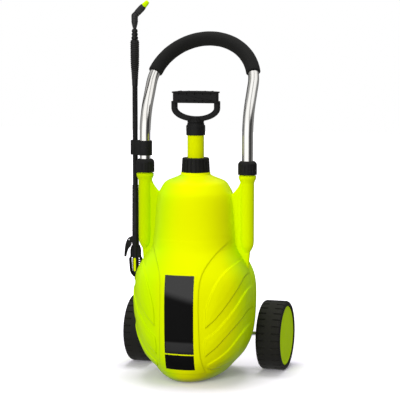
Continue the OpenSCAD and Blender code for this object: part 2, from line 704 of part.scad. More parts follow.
module lance_clip() color(black) difference() {
    union() {
        translate([0, 0, clip_low_z]) linear_extrude(clip_high_z - clip_low_z) fork_outline();
        translate([-leg_x, 0, clip_low_z]) linear_extrude(clip_high_z - clip_low_z) ring(sleeve_r, tube_r + seat);
        translate([-leg_x - lug_half, tube_r + 2, clip_low_z + 8])
            cube([2 * lug_half, lug_reach, clip_high_z - clip_low_z - 16]);
    }
    translate([-leg_x - lug_slit / 2, tube_r - over, clip_low_z - over])
        cube([lug_slit, lug_reach + 7, clip_high_z - clip_low_z + 2 * over]);
    translate([-leg_x - 20, bolt_y, clip_mid_z]) rotate([0, 90, 0]) cylinder(r = bolt_r + seat, h = 40);
}

module clip_bolt() color(steel)
    translate([-leg_x, bolt_y, clip_mid_z]) rotate([0, 90, 0]) {
        translate([0, 0, -lug_half - 3]) cylinder(r = bolt_r, h = 2 * lug_half + 6);
        translate([0, 0, lug_half]) cylinder(r = 4.2, h = 3);
        translate([0, 0, -lug_half - 3.4]) cylinder(r = 4.6, h = 3.4, $fn = 6);
    }

// ---------------------------------------------------------------- pump
cylinder_r = cylinder_d / 2;
bore_r = cylinder_r - cylinder_wall;
gasket_t = 2;
flange_z = neck_top_z + gasket_t;
flange_t = 4;
foot_t = 4;
cap_low_z = 555.5;
cap_top_z = cylinder_top_z + 3.8;
cap_r = 21.8;
rod_r = rod_d / 2;
piston_z = 205;
piston_h = 20;
ring_groove = 2.2;

module pump_cylinder() color(lime) {
    difference() {
        rotate_extrude() polygon([
            [0, cylinder_foot_z], [cylinder_r, cylinder_foot_z], [cylinder_r, flange_z],
            [neck_thread_r, flange_z], [neck_thread_r, flange_z + flange_t], [cylinder_r, flange_z + flange_t],
            [cylinder_r, cylinder_top_z], [bore_r, cylinder_top_z], [bore_r, cylinder_foot_z + foot_t],
            [0, cylinder_foot_z + foot_t]]);
        translate([0, 0, cylinder_foot_z - over]) cylinder(r = 2.6, h = foot_t + 2 * over);
        for (a = [0:60:359]) rotate([0, 0, a])
            translate([8, 0, cylinder_foot_z - over]) cylinder(r = 2, h = foot_t + 2 * over);
    }
}

module pump_gasket() color(rubber) translate([0, 0, neck_top_z]) difference() {
    cylinder(r = neck_thread_r, h = gasket_t);
    translate([0, 0, -over]) cylinder(r = cylinder_r + clear, h = gasket_t + 2 * over);
}

module pump_nut() color(black) {
    low = neck_ring_z + 3.5;
    top = low + 33;
    difference() {
        rotate_extrude() polygon(concat(
            [[neck_thread_r + 0.4, low], [neck_r - 1.4, low]],
            arc([28, top - 3], 3, 0, 90, 4),
            [[cylinder_r + 0.4, top], [cylinder_r + 0.4, flange_z + flange_t + clear],
             [neck_thread_r + 0.4, flange_z + flange_t + clear]]));
        for (a = [0:18:359]) rotate([0, 0, a]) translate([neck_r - 2.6, 0, low]) rotate([0, -3, 0])
            translate([0, -1.4, -over]) cube([3, 2.8, 26]);
    }
}

module cylinder_cap() color(black) {
    rotate_extrude() polygon([
        [cylinder_r + seat, cap_low_z], [cap_r - 0.6, cap_low_z], [cap_r, cap_low_z + 1],
        [cap_r, cap_top_z - 6], [cap_r - 2.8, cap_top_z - 1.6], [cap_r - 2.8, cap_top_z], [rod_r + clear, cap_top_z],
        [rod_r + clear, cylinder_top_z + seat], [cylinder_r + seat, cylinder_top_z + seat]]);
}

module check_valve() color(rubber) {
    rotate_extrude() polygon([
        [0, cylinder_foot_z - 3], [6, cylinder_foot_z - 3], [12.5, cylinder_foot_z - 1],
        [12.5, cylinder_foot_z], [2.5, cylinder_foot_z], [2.5, cylinder_foot_z + foot_t], [3.4, cylinder_foot_z + foot_t],
        [2.2, cylinder_foot_z + foot_t + 4], [0, cylinder_foot_z + foot_t + 4]]);
}

module piston() color(black) {
    mid = piston_z + piston_h / 2;
    skirt_r = bore_r - 0.4;
    rotate_extrude() polygon([
        [0, piston_z], [skirt_r, piston_z], [skirt_r, mid - 1.9], [skirt_r - ring_groove, mid - 1.9],
        [skirt_r - ring_groove, mid + 1.9], [skirt_r, mid + 1.9], [skirt_r, piston_z + piston_h - 2],
        [bore_r - 4, piston_z + piston_h + 2], [rod_r + seat, piston_z + piston_h + 2], [rod_r + seat, piston_z + 5],
        [0, piston_z + 5]]);
}

module piston_ring() color(rubber) translate([0, 0, piston_z + piston_h / 2])
    rotate_extrude() translate([bore_r - clear - ring_groove / 2, 0]) circle(r = ring_groove / 2);

rod_top_z = cap_top_z + 12;
rod_pin_z = cap_top_z + 8;
pin_r = 2;

module piston_rod() color(steel) difference() {
    translate([0, 0, piston_z + 5]) cylinder(r = rod_r, h = rod_top_z - piston_z - 5);
    translate([0, 20, rod_pin_z]) rotate([90, 0, 0]) cylinder(r = pin_r + 0.05, h = 40);
}

handle_foot_z = cap_top_z + 0.6;
bar_low_z = cap_top_z + 45;
bar_top_z = cap_top_z + 72;
handle_half = pump_handle_w / 2;
stirrup_t = 16;
flange_in = 2.4;        // the bar's lower flange stops this far inside the stirrup's sides
crown_in = 3.6;         // and its upper flange this far
web_in = 5;             // and the web between them this far
bar_flange_t = 4.5;

function stirrup(half, low, side_z, top) =      // half an ellipse under two upright sides
    concat([[half, top], [half, side_z]],
           [for (a = [10:10:170]) [half * cos(a), side_z - (side_z - low) * sin(a)]],
           [[-half, side_z], [-half, top]]);

module pump_handle() color(black) difference() {
    union() {
        translate([0, 0, handle_foot_z]) cylinder(r = 19, h = 4);
        translate([0, 0, handle_foot_z + 3.9]) cylinder(r1 = 18, r2 = 15, h = 4);
        translate([0, stirrup_t / 2, 0]) rotate([90, 0, 0]) linear_extrude(stirrup_t)
            polygon(stirrup(handle_half, handle_foot_z + 2, bar_low_z - 12, bar_low_z + 3));
        translate([flange_in - handle_half, -pump_handle_t / 2, bar_low_z])
            cube([pump_handle_w - 2 * flange_in, pump_handle_t, bar_flange_t]);
        translate([web_in - handle_half, -pump_handle_t / 2 + 3, bar_low_z + bar_flange_t - 0.5])
            cube([pump_handle_w - 2 * web_in, pump_handle_t - 6, bar_top_z - bar_low_z - 2 * bar_flange_t + 1]);
        translate([0, pump_handle_t / 2, 0]) rotate([90, 0, 0]) linear_extrude(pump_handle_t)
            polygon([[crown_in - handle_half, bar_top_z - bar_flange_t],
                     [handle_half - crown_in, bar_top_z - bar_flange_t],
                     [handle_half - crown_in, bar_top_z - 1], [handle_half / 2, bar_top_z + 0.6],
                     [-handle_half / 2, bar_top_z + 0.6], [crown_in - handle_half, bar_top_z - 1]]);
    }
    translate([0, 20, 0]) rotate([90, 0, 0]) linear_extrude(40)
        polygon(stirrup(handle_half - 12.5, handle_foot_z + 13.5, bar_low_z - 10, bar_low_z));
    translate([0, 0, handle_foot_z - over]) cylinder(r = rod_r + seat, h = rod_top_z - handle_foot_z + over + 0.2);
    translate([0, 20, rod_pin_z]) rotate([90, 0, 0]) cylinder(r = pin_r + 0.05, h = 40);
}

module handle_pin() color(steel) translate([0, 7.8, rod_pin_z]) rotate([90, 0, 0]) cylinder(r = pin_r, h = 15.6);

// ---------------------------------------------------------------- lance
lance_foot_z = valve_z + 96;
lower_boot_z = valve_z + 112;
lower_boot_top_z = valve_z + 222;
upper_boot_z = lance_top_z - 102;
upper_boot_top_z = lance_top_z + 29;
inner_r = inner_tube_d / 2;

module at_lance() {
    translate([lance_x, lance_y, 0]) children();
}

// Outline points of a row of round ribs on a sleeve whose radius runs from one value to another
function ribs(z0, z1, r0, r1, count, rise) =
    [for (k = [0:count - 1], step = [[0, 0], [0.15, 1], [0.5, 1], [0.65, 0]])
        [mix(r0, r1, (k + step[0]) / count) + rise * step[1], mix(z0, z1, (k + step[0]) / count)]];

module lance_tube() color(black) at_lance() difference() {
    translate([0, 0, lance_foot_z]) cylinder(r = lance_r, h = lance_top_z - lance_foot_z);
    translate([0, 0, lance_foot_z - over]) cylinder(r = lance_r - 1.5, h = lance_top_z - lance_foot_z + 2 * over);
}

module lower_boot() color(rubber) at_lance() rotate_extrude() polygon(concat(
    [[lance_r + 0.02, lower_boot_z]], ribs(lower_boot_z, lower_boot_top_z, 7.8, 6.9, 16, 0.8),
    [[6.8, lower_boot_top_z], [lance_r + 0.02, lower_boot_top_z]]));

module upper_boot() color(rubber) at_lance() rotate_extrude() polygon(concat(
    [[lance_r + 0.02, upper_boot_z], [6.6, upper_boot_z], [9, upper_boot_z + 46]],
    ribs(upper_boot_z + 48, lance_top_z + 2, 8.8, 8.8, 10, 0.9),
    [[8.8, lance_top_z + 4]], ribs(lance_top_z + 6, upper_boot_top_z, 7.2, 6, 3, 1.8),
    [[5.8, upper_boot_top_z], [inner_r + clear, upper_boot_top_z], [inner_r + clear, lance_top_z + 4],
     [lance_r + 0.02, lance_top_z + 4]]));

module lance_seal() color(rubber) at_lance() translate([0, 0, lance_top_z]) difference() {
    cylinder(r = lance_r - 0.1, h = 3.8);
    translate([0, 0, -over]) cylinder(r = inner_r + clear, h = 6);
}

// ---------------------------------------------------------------- valve handle
grip_t = 12;
ear_gap = 10;           // room between the ears for the trigger
ear_t = 3;
pivot = [-13.6, valve_z + 94];
pivot_r = 1.6;
trigger_t = ear_gap - 2 * clear;
stem_z = valve_z + 85;
stem_r = 2.2;
column_r = 7;
head_r = 8;
head_z = valve_z + 78;      // foot of the valve's head
ear_r = 4.6;
hole_z = valve_z + 59;      // the lowest of the small holes
inlay_z = valve_z + 19;
inlay_h = 32;
inlay_r = 2.8;

// Half outline of the ladder grip, from the lower tip up, beside the lance's axis
grip_side = [[4, 7], [12, 17], [14, 33], [15, 48], [12, 54], [11.6, 69], [9, 78], [7, 80]];
window_w = 4;
window_step = 4.7;

module grip_outline() {
    polygon(concat([for (p = grip_side) [p[0], valve_z + p[1]]],
                   [for (i = [len(grip_side) - 1:-1:0]) [-grip_side[i][0], valve_z + grip_side[i][1]]]));
}

module valve_body() color(black) at_lance() difference() {
    union() {
        translate([0, 0, valve_z + 10]) cylinder(r = column_r, h = pivot[1] - valve_z - 10);
        translate([0, 0, head_z]) cylinder(r = head_r, h = lower_boot_z - head_z);
        translate([0, grip_t / 2, 0]) rotate([90, 0, 0]) linear_extrude(grip_t) grip_outline();
        for (side = [-1, 1])
            translate([0, side * (ear_gap + ear_t) / 2 + ear_t / 2, 0]) rotate([90, 0, 0]) linear_extrude(ear_t) {
                translate(pivot) circle(r = ear_r);
                polygon([[pivot[0] - 2, pivot[1] + ear_r - 0.5], [0, pivot[1] + 12], [0, pivot[1] - 12],
                         [pivot[0] + 2, pivot[1] - ear_r + 0.5]]);
            }
    }
    // ladder windows, the small holes above them, and the recess for the inlay
    for (side = [-1, 1], k = [0:5])
        translate([side * (9.2 + 0.25 * k) - window_w / 2, -20, valve_z + 21 + window_step * k])
            cube([window_w, 40, 3]);
    for (side = [-1, 1], k = [0:2])
        translate([side * 9.6, 20, hole_z + window_step * k]) rotate([90, 0, 0]) cylinder(r = 1.1, h = 40);
    translate([-inlay_r, -column_r - 2, inlay_z]) cube([2 * inlay_r, 4, inlay_h]);
    // trigger slot, stem bore, water way, and the seats of the tube and the hose tail
    translate([-26, -ear_gap / 2, head_z]) cube([26 - head_r - 0.4, ear_gap, 40]);
    translate([-head_r - 2, 0, stem_z]) rotate([0, 90, 0]) cylinder(r = stem_r + clear, h = head_r + 8);
    translate([0, 0, valve_z]) cylinder(r = 2.4, h = 120);
    translate([0, 0, lance_foot_z - seat]) cylinder(r = lance_r + seat, h = 40);
    translate([0, 0, valve_z - over]) cylinder(r = 3.6, h = 15);
    translate([pivot[0], 20, pivot[1]]) rotate([90, 0, 0]) cylinder(r = pivot_r + 0.05, h = 40);
}

module valve_inlay() color(lime) at_lance()
    translate([0, -column_r + 2 - seat, inlay_z + inlay_h / 2]) rotate([90, 0, 0]) linear_extrude(2.8) hull()
        for (up = [-1, 1]) translate([0, up * (inlay_h / 2 - inlay_r)]) circle(r = inlay_r - seat);

module trigger() color(black) at_lance() difference() {
    translate([0, trigger_t / 2, 0]) rotate([90, 0, 0]) {
        translate(pivot) cylinder(r = 4.8, h = trigger_t);
        linear_extrude(trigger_t) polygon(concat(
                       [[pivot[0] + 2, pivot[1] - 3], [-11.5, stem_z + 4], [-11.5, stem_z - 4]],
                       curve([[-13, stem_z - 8], [-19, stem_z - 15], [-22.5, stem_z - 24], [-24.6, stem_z - 33]], 2),
                       [[-28, stem_z - 32], [-26.6, stem_z - 16], [-24.5, stem_z - 2], [-20, stem_z + 8],
                        [pivot[0] - 4.4, pivot[1] + 1]]));
    }
    translate([pivot[0], 20, pivot[1]]) rotate([90, 0, 0]) cylinder(r = pivot_r + clear, h = 40);
}

module trigger_pin() color(steel) at_lance()
    translate([pivot[0], ear_gap / 2 + ear_t + 0.4, pivot[1]]) rotate([90, 0, 0])
        cylinder(r = pivot_r, h = ear_gap + 2 * ear_t + 0.8);

module valve_stem() color(steel) at_lance()
    translate([-11, 0, stem_z]) rotate([0, 90, 0]) cylinder(r = stem_r, h = 11.2);

module valve_spring() color(steel) at_lance()
    translate([2, 0, stem_z]) rotate([0, 90, 0]) difference() {
        cylinder(r = stem_r, h = 3.8);
        translate([0, 0, -over]) cylinder(r = stem_r - 0.8, h = 8);
    }

module hose_tail() color(black) at_lance() difference() {
    rotate_extrude() polygon([
        [0, valve_z - 2], [2.8, valve_z - 2], [3.8, valve_z + 2], [3.2, valve_z + 2], [3.8, valve_z + 6],
        [3.5, valve_z + 6], [3.5, valve_z + 13.8], [0, valve_z + 13.8]]);
    translate([0, 0, valve_z - 3]) cylinder(r = 1.8, h = 30);
}

// ---------------------------------------------------------------- inner tube and nozzle
inner_foot_z = lance_top_z - lance_travel - 18;
elbow_z = upper_boot_top_z + 2;
knee_z = elbow_z + 28;
nozzle_tilt = 45;
cap_from = 9;           // distances along the tilted nozzle from the knee
cap_to = 32;
tip_to = 46;
knee_r = 6.6;

module at_nozzle() {
    translate([lance_x, lance_y, knee_z]) rotate([0, nozzle_tilt, 0]) children();
}

module inner_tube() color(black) at_lance() difference() {
    translate([0, 0, inner_foot_z]) cylinder(r = inner_r, h = elbow_z + 9 - inner_foot_z);
    translate([0, 0, inner_foot_z - over]) cylinder(r = inner_r - 1.2, h = elbow_z + 20 - inner_foot_z);
}

module nozzle_elbow() color(black) difference() {
    union() {
        at_lance() rotate_extrude() polygon([
            [0, elbow_z], [5, elbow_z], [5.6, elbow_z + 3], [5.2, elbow_z + 5],
            [knee_r, knee_z - 5], [knee_r, knee_z], [0, knee_z]]);
        translate([lance_x, lance_y, knee_z]) sphere(r = knee_r + 0.6);
        at_nozzle() cylinder(r = knee_r, h = cap_from - 1);
        at_nozzle() cylinder(r = 5, h = cap_from + 12);
    }
    at_lance() translate([0, 0, elbow_z - over]) cylinder(r = inner_r + 0.02, h = 10);
    at_lance() translate([0, 0, elbow_z]) cylinder(r = 2, h = knee_z - elbow_z);
    at_nozzle() cylinder(r = 2, h = 40);
}

module nozzle_cap() color(black) at_nozzle() difference() {
    rotate_extrude() polygon([
        [5 + clear, cap_from], [6.8, cap_from], [7.5, cap_from + 1], [7.5, cap_to - 3], [6.6, cap_to],
        [2.8, cap_to], [2.8, cap_from + 12.5], [5 + clear, cap_from + 12.5]]);
    for (a = [0:30:359]) rotate([0, 0, a]) translate([6.9, -0.7, cap_from + 2]) cube([2, 1.4, cap_to - cap_from - 5]);
}

module nozzle_tip() color(lime) at_nozzle() difference() {
    rotate_extrude() polygon([
        [0, cap_to - 8], [2.7, cap_to - 8], [2.7, cap_to + 0.02], [6.2, cap_to + 0.02], [6.2, cap_to + 3],
        [4.6, cap_to + 5],
        [4.6, tip_to - 1], [3.8, tip_to], [0, tip_to]]);
    translate([0, 0, cap_to - 10]) cylinder(r = 1, h = 40);
}

tank();
front_label();
outlet_fitting();
outlet_nut();
outlet_seal();
dip_tube();
dip_filter();
relief_body();
relief_knob();
relief_spring();
relief_seal();
axle();
axle_rings();
axle_clips();
clip_screws();
left_tyre();
left_rim();
left_cover();
left_push_nut();
right_tyre();
right_rim();
right_cover();
right_push_nut();
left_collet();
right_collet();
left_clamp_nut();
right_clamp_nut();
handle_tube();
foam_grip();
leg_plugs();
lance_clip();
clip_bolt();
pump_cylinder();
cylinder_cap();
pump_gasket();
check_valve();
pump_nut();
piston();
piston_ring();
piston_rod();
pump_handle();
handle_pin();
lance_tube();
lower_boot();
upper_boot();
lance_seal();
valve_body();
valve_inlay();
trigger();
trigger_pin();
valve_stem();
valve_spring();
hose_tail();
inner_tube();
nozzle_elbow();
nozzle_cap();
nozzle_tip();
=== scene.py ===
"""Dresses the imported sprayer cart: finer surfaces and materials on the fixed CAD frame."""

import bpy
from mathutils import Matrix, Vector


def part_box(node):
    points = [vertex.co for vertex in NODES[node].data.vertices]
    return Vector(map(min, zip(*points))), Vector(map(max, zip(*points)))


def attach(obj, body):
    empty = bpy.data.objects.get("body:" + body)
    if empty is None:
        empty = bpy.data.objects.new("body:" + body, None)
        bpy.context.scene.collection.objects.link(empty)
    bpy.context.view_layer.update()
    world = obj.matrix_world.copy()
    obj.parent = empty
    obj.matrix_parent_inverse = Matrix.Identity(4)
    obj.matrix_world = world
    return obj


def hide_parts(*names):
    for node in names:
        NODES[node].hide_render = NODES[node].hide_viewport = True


bl_info = {
    "name": "Wheeled Sprayer Cart",
    "version": (1, 0, 0),
    "blender": (4, 5, 0),
    "location": "View3D > Sidebar > Sprayer",
    "description": "Builds the surfaces, materials and studio of a wheeled sprayer cart",
    "category": "Object",
}

import math
import bmesh
import bpy
import numpy as np
from mathutils import Vector
from mathutils.bvhtree import BVHTree

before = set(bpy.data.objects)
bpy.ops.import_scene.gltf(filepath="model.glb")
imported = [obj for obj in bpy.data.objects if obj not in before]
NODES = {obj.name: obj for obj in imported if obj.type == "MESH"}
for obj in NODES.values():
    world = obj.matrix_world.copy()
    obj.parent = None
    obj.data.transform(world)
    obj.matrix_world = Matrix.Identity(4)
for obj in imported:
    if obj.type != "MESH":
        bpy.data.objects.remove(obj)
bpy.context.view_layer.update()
MM = 0.001
SIDES = ((-1, "left"), (1, "right"))
BUILT = {}


def cad_box(node):
    """Lowest and highest corner of a CAD node at rest, in millimetres."""
    low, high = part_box(node)
    return np.array(low) / MM, np.array(high) / MM


def cad_middle(node):
    """Middle of a CAD node's box."""
    return sum(cad_box(node)) / 2


def cad_size(node):
    """Width, depth and height of a CAD node's box."""
    low, high = cad_box(node)
    return high - low


# --- sizes read from the frame
LEG_X = float(cad_middle("right_clamp_nut")[0])
TUBE_R = float(cad_box("leg_plugs")[1][1])
LANCE = cad_middle("lance_tube")[:2]
AXLE_Y, AXLE_Z = cad_middle("axle")[1:]
WHEEL_IN = float(cad_box("right_tyre")[0][0])
WHEEL_W = float(cad_size("right_tyre")[0])
WHEEL_R = float(cad_size("right_tyre")[2]) / 2
RIM_R = float(cad_size("right_rim")[2]) / 2

# --- photograph: 400 x 400 frame, and the camera fitted to it
IMAGE_W = 400
IMAGE_H = 400
IMAGE_POINTS = {
    "left_edge": (123.0, 331.0),
    "right_edge": (295.1, 329.0),
    "top_edge": (147.5, 0.8),
    "bottom_edge": (187.4, 382.4),
    "pump_cap_top": (195.5, 121.5),
    "pump_nut_foot": (195.5, 173.0),
    "left_clamp_nut": (145.3, 166.0),
    "right_clamp_nut": (247.2, 168.6),
    "grip_apex": (209.0, 30.4),
    "right_disc": (287.0, 336.0),
    "label_low_left": (165.8, 370.0),
    "label_low_right": (194.0, 371.0),
    "label_high_right": (193.0, 275.8),
    "label_high_left": (164.0, 274.3),
    "label_line": (180.0, 355.0),
    "nozzle_knee": (135.0, 15.5),
    "trigger_tip": (124.3, 256.0),
    "valve_inlay": (134.9, 264.5),
}
CAMERA_AT = np.array([971.4, -3134.2, 761.9])
CAMERA_TURN = 17.05
CAMERA_PITCH = -6.18
LENS = 129.5
SENSOR = 36.0

# --- the tank's levels, as in the CAD: height, half width, reach in front, reach behind, squareness
FOOT = (0, 42, 80, 46, 2.1)
BELLY = (185, 138, 131, 126, 2.4)
WAIST = (345, 92.5, 93, 93, 2.3)
NECK = (466, 34, 34, 34, 2)
FOOT_SHARES = ((0, 0, 0, 0), (0.016, 0.13, 0.29, 0.18), (0.075, 0.31, 0.61, 0.45),
               (0.195, 0.53, 0.82, 0.76), (0.345, 0.77, 0.94, 0.92), (0.595, 0.95, 1, 0.98))
BELLY_SHARES = ((0, 0, 0, 0), (0.31, 0.09, 0.12, 0.09), (0.54, 0.46, 0.42, 0.36), (0.75, 0.88, 0.78, 0.77))
WAIST_SHARES = ((0, 0, 0, 0), (0.43, 0.06, 0.08, 0.08), (0.64, 0.13, 0.14, 0.14),
                (0.78, 0.27, 0.27, 0.27), (0.85, 0.37, 0.37, 0.37), (0.893, 0.5, 0.51, 0.51),
                (0.93, 0.69, 0.7, 0.7), (0.963, 0.86, 0.87, 0.87), (1, 1, 1, 1))
# Rims of the leaves on the +X side and the shield's edge, in front view
LEAF_REACH = 2.4          # how much wider the leaves' outlines are laid than the plain belly
FIELD_ZERO = 10.0         # added to the stored distances, so that none is negative
LEAVES = ((((61, 134), (61.5, 166), (68, 196), (80, 229), (95, 256), (118, 279)), ((160, 300), (160, 268)),
           ((134, 262), (126, 228), (114, 202), (98, 176), (81, 153))),
          (((59, 68), (57.5, 90), (60, 108)), ((83, 127), (108, 159), (125, 188), (140, 224)),
           ((160, 240), (160, 180)), ((137, 166), (127, 146), (106, 118), (82, 89))),
          (((66, 34), (61, 40), (62, 48)), ((84, 63), (104, 81), (124, 110), (138, 134)),
           ((160, 150), (160, 70)), ((124, 62), (104, 48), (84, 38))))
SHIELD_EDGE = ((93, 322), (85, 311), (72, 294), (58, 271), (49.5, 249), (46, 224), (45, 185),
               (45.5, 150), (46.5, 116), (48, 69), (54, 26))


# --- settings a user would change
class SprayerColours(bpy.types.PropertyGroup):
    """Colours of the cart's materials, as linear light."""

    tank: bpy.props.FloatVectorProperty(
        name="Tank", description="Colour of the blow-moulded tank", subtype="COLOR",
        size=3, min=0, max=1, default=(0.62, 0.95, 0.0))
    black: bpy.props.FloatVectorProperty(
        name="Black plastic", description="Colour of the moulded fittings", subtype="COLOR",
        size=3, min=0, max=1, default=(0.009, 0.009, 0.009))
    tyre: bpy.props.FloatVectorProperty(
        name="Tyre", description="Colour of the moulded tyres", subtype="COLOR",
        size=3, min=0, max=1, default=(0.011, 0.011, 0.010))
    foam: bpy.props.FloatVectorProperty(
        name="Foam", description="Colour of the foam grip", subtype="COLOR",
        size=3, min=0, max=1, default=(0.011, 0.011, 0.0105))
    metal: bpy.props.FloatVectorProperty(
        name="Tube", description="Colour of the polished handle tube", subtype="COLOR",
        size=3, min=0, max=1, default=(0.86, 0.85, 0.82))


class SprayerSizes(bpy.types.PropertyGroup):
    """Sizes of surface detail that the CAD leaves to the scene."""

    tread_blocks: bpy.props.IntProperty(
        name="Tread blocks", description="Grooves in each row round a tyre", default=30, min=12, max=60)
    tread_depth: bpy.props.FloatProperty(
        name="Tread depth", description="Depth of the tyre's grooves", subtype="DISTANCE",
        unit="LENGTH", default=0.0022, min=0.0005, max=0.004)
    pad_rise: bpy.props.FloatProperty(
        name="Leaf pads", description="Height of the raised leaves on the belly", subtype="DISTANCE",
        unit="LENGTH", default=0.0024, min=0.0, max=0.004)
    shield_step: bpy.props.FloatProperty(
        name="Shield step", description="Step along the edge of the front shield", subtype="DISTANCE",
        unit="LENGTH", default=0.0015, min=0.0, max=0.003)
    nut_ribs: bpy.props.IntProperty(
        name="Nut ribs", description="Grip ribs round the pump's nut", default=20, min=8, max=40)


# --- curves and outlines
def points_of(*values):
    """Coordinates spread to one shape and put together as points."""
    return np.stack(np.broadcast_arrays(*values), axis=-1)


def unit(vectors):
    """Vectors of length 1."""
    return vectors / np.linalg.norm(vectors, axis=-1, keepdims=True)


def power(x, exponent):
    """Signed power: sign(x) |x|^exponent."""
    return np.sign(x) * np.abs(x) ** exponent


def smooth_step(low, high, x):
    """0 below low, 1 above high, and 3t^2 - 2t^3 between them."""
    t = np.clip((x - low) / (high - low), 0, 1)
    return t * t * (3 - 2 * t)


def band(a, b, c, d, x):
    """0 up to a, 1 from b to c, and 0 again from d on, each change a smooth step."""
    return smooth_step(a, b, x) * (1 - smooth_step(c, d, x))


def from_rib(angle, count, radius):
    """Distance round a circle from the nearest of count ribs: |mod(angle, pitch) - pitch / 2| radius."""
    pitch = 2 * np.pi / count
    return np.abs(np.mod(angle, pitch) - pitch / 2) * radius


def full_turn(count):
    """Angles of a full turn, without its end."""
    return np.linspace(0, 2 * np.pi, count, endpoint=False)


def through(knots, steps):
    """Catmull-Rom curve: between b and c, half of 2b + (c-a)u + (2a-5b+4c-d)u^2 + (3b-a-3c+d)u^3."""
    knots = np.asarray(knots, float)
    padded = np.vstack([knots[:1], knots, knots[-1:]])
    u = (np.arange(steps) / steps)[None, :, None]
    a, b, c, d = (padded[i:len(padded) - 3 + i, None, :] for i in range(4))
    body = 0.5 * (2 * b + (c - a) * u + (2 * a - 5 * b + 4 * c - d) * u ** 2
                  + (3 * b - a - 3 * c + d) * u ** 3)
    return np.vstack([body.reshape(-1, knots.shape[1]), knots[-1:]])


def eased(outline, reach, steps=4):
    """Rounds corners: each corner P becomes (1-t)^2 A + 2t(1-t) P + t^2 B, A and B lying reach away."""
    pts = np.asarray(outline, float)
    ends = []
    for shift in (1, -1):
        way = np.roll(pts, shift, axis=0) - pts
        run = np.linalg.norm(way, axis=1)
        share = np.minimum(reach, run * 0.45) / np.maximum(run, 1e-9)
        ends.append((pts + way * share[:, None])[:, None])
    t = np.linspace(0, 1, steps + 1)[None, :, None]
    arcs = (1 - t) ** 2 * ends[0] + 2 * t * (1 - t) * pts[:, None] + t ** 2 * ends[1]
    return arcs.reshape(-1, pts.shape[1])


def box_line(x_low, x_high, y_low, y_high, ease, steps=4):
    """Outline of a rectangle with rounded corners, counter-clockwise from its lower left one."""
    return eased([(x_low, y_low), (x_high, y_low), (x_high, y_high), (x_low, y_high)], ease, steps)


def circle(radius, count):
    """Points of a circle of a radius."""
    angle = full_turn(count)
    return radius * points_of(np.cos(angle), np.sin(angle))


def respaced(points, count):
    """The same line with count points at equal steps of its length."""
    run = np.concatenate([[0], np.cumsum(np.linalg.norm(np.diff(points, axis=0), axis=1))])
    at_runs = np.linspace(0, run[-1], count)
    return np.stack([np.interp(at_runs, run, column) for column in points.T], axis=1)


def finely(profile, step):
    """The same profile with extra points, so that no straight part is longer than step."""
    line = [np.asarray(profile[:1], float)]
    for a, b in zip(np.asarray(profile[:-1], float), np.asarray(profile[1:], float)):
        count = max(1, int(np.ceil(np.linalg.norm(b - a) / step)))
        line.append(a + (b - a) * np.arange(1, count + 1)[:, None] / count)
    return np.vstack(line)


def line_distance(points, line):
    """Distance of each 2-D point from a polyline: the least over its segments."""
    a = line[:-1]
    ab = line[1:] - a
    gap = points[:, None, :] - a[None]
    t = np.clip((gap * ab).sum(-1) / np.maximum((ab * ab).sum(-1), 1e-12), 0, 1)
    return np.linalg.norm(gap - t[..., None] * ab, axis=-1).min(axis=1)


def inside_outline(points, outline):
    """True where a ray along +X from the point crosses the closed outline an odd number of times."""
    ax, ay = outline.T
    bx, by = np.roll(outline, -1, axis=0).T
    x, y = points[:, None, 0], points[:, None, 1]
    spans = (ay > y) != (by > y)
    cross = ax + (y - ay) * (bx - ax) / np.where(by == ay, 1e-9, by - ay)
    return (spans & (x < cross)).sum(axis=1) % 2 == 1


# --- meshes
def link_mesh(name, mesh):
    """Shades a mesh smooth between its sharp edges and links it as an object at the origin."""
    mesh.shade_smooth()
    mesh.set_sharp_from_angle(angle=math.radians(35))
    BUILT[name] = bpy.data.objects.new(name, mesh)
    bpy.context.scene.collection.objects.link(BUILT[name])
    return BUILT[name]


def lay_mesh(name, points, faces, weld=True, turn_out=True):
    """Makes a mesh object from points in millimetres and faces of vertex numbers, and cleans it."""
    mesh = bpy.data.meshes.new(name)
    mesh.from_pydata((np.asarray(points, float) * MM).tolist(), [], faces)
    mesh.validate()
    if weld:
        work = bmesh.new()
        work.from_mesh(mesh)
        bmesh.ops.remove_doubles(work, verts=work.verts, dist=2e-6)
        bmesh.ops.dissolve_degenerate(work, dist=1e-7, edges=work.edges)
        if turn_out:
            bmesh.ops.recalc_face_normals(work, faces=work.faces)
        work.to_mesh(mesh)
        work.free()
    return link_mesh(name, mesh)


def surface(name, grid, wrap=False, caps=False, **how):
    """A grid of points as a smooth surface, closed sideways by wrap and at its ends by caps."""
    rows, cols = grid.shape[:2]
    i = np.arange(rows - 1)[:, None] * cols
    k = np.arange(cols if wrap else cols - 1)[None]
    beside = (k + 1) % cols
    faces = np.stack([i + k, i + beside, i + cols + beside, i + cols + k], axis=-1).reshape(-1, 4).tolist()
    if caps:
        faces.append(list(range(cols - 1, -1, -1)))
        faces.append(list(range((rows - 1) * cols, rows * cols)))
    return lay_mesh(name, grid.reshape(-1, 3), faces, **how)


X_AXIS, Y_AXIS, Z_AXIS = np.eye(3)
UPRIGHT = (np.zeros(3), X_AXIS, Y_AXIS, Z_AXIS)
FACING = (np.zeros(3), X_AXIS, Z_AXIS, Y_AXIS)


def at(x, y, z=0.0):
    """An upright frame standing at a place."""
    return (np.array([x, y, z], float),) + UPRIGHT[1:]


def axis_frame(origin, along, side=(1, 0, 0)):
    """A place and three unit axes, the third one along a direction."""
    w = unit(np.asarray(along, float))
    v = unit(np.cross(w, np.asarray(side, float)))
    return np.asarray(origin, float), np.cross(v, w), v, w


def placed(local, axes):
    """Local points carried into a frame: origin + x u + y v + z w."""
    origin, u, v, w = axes
    return origin + local[..., :1] * u + local[..., 1:2] * v + local[..., 2:3] * w


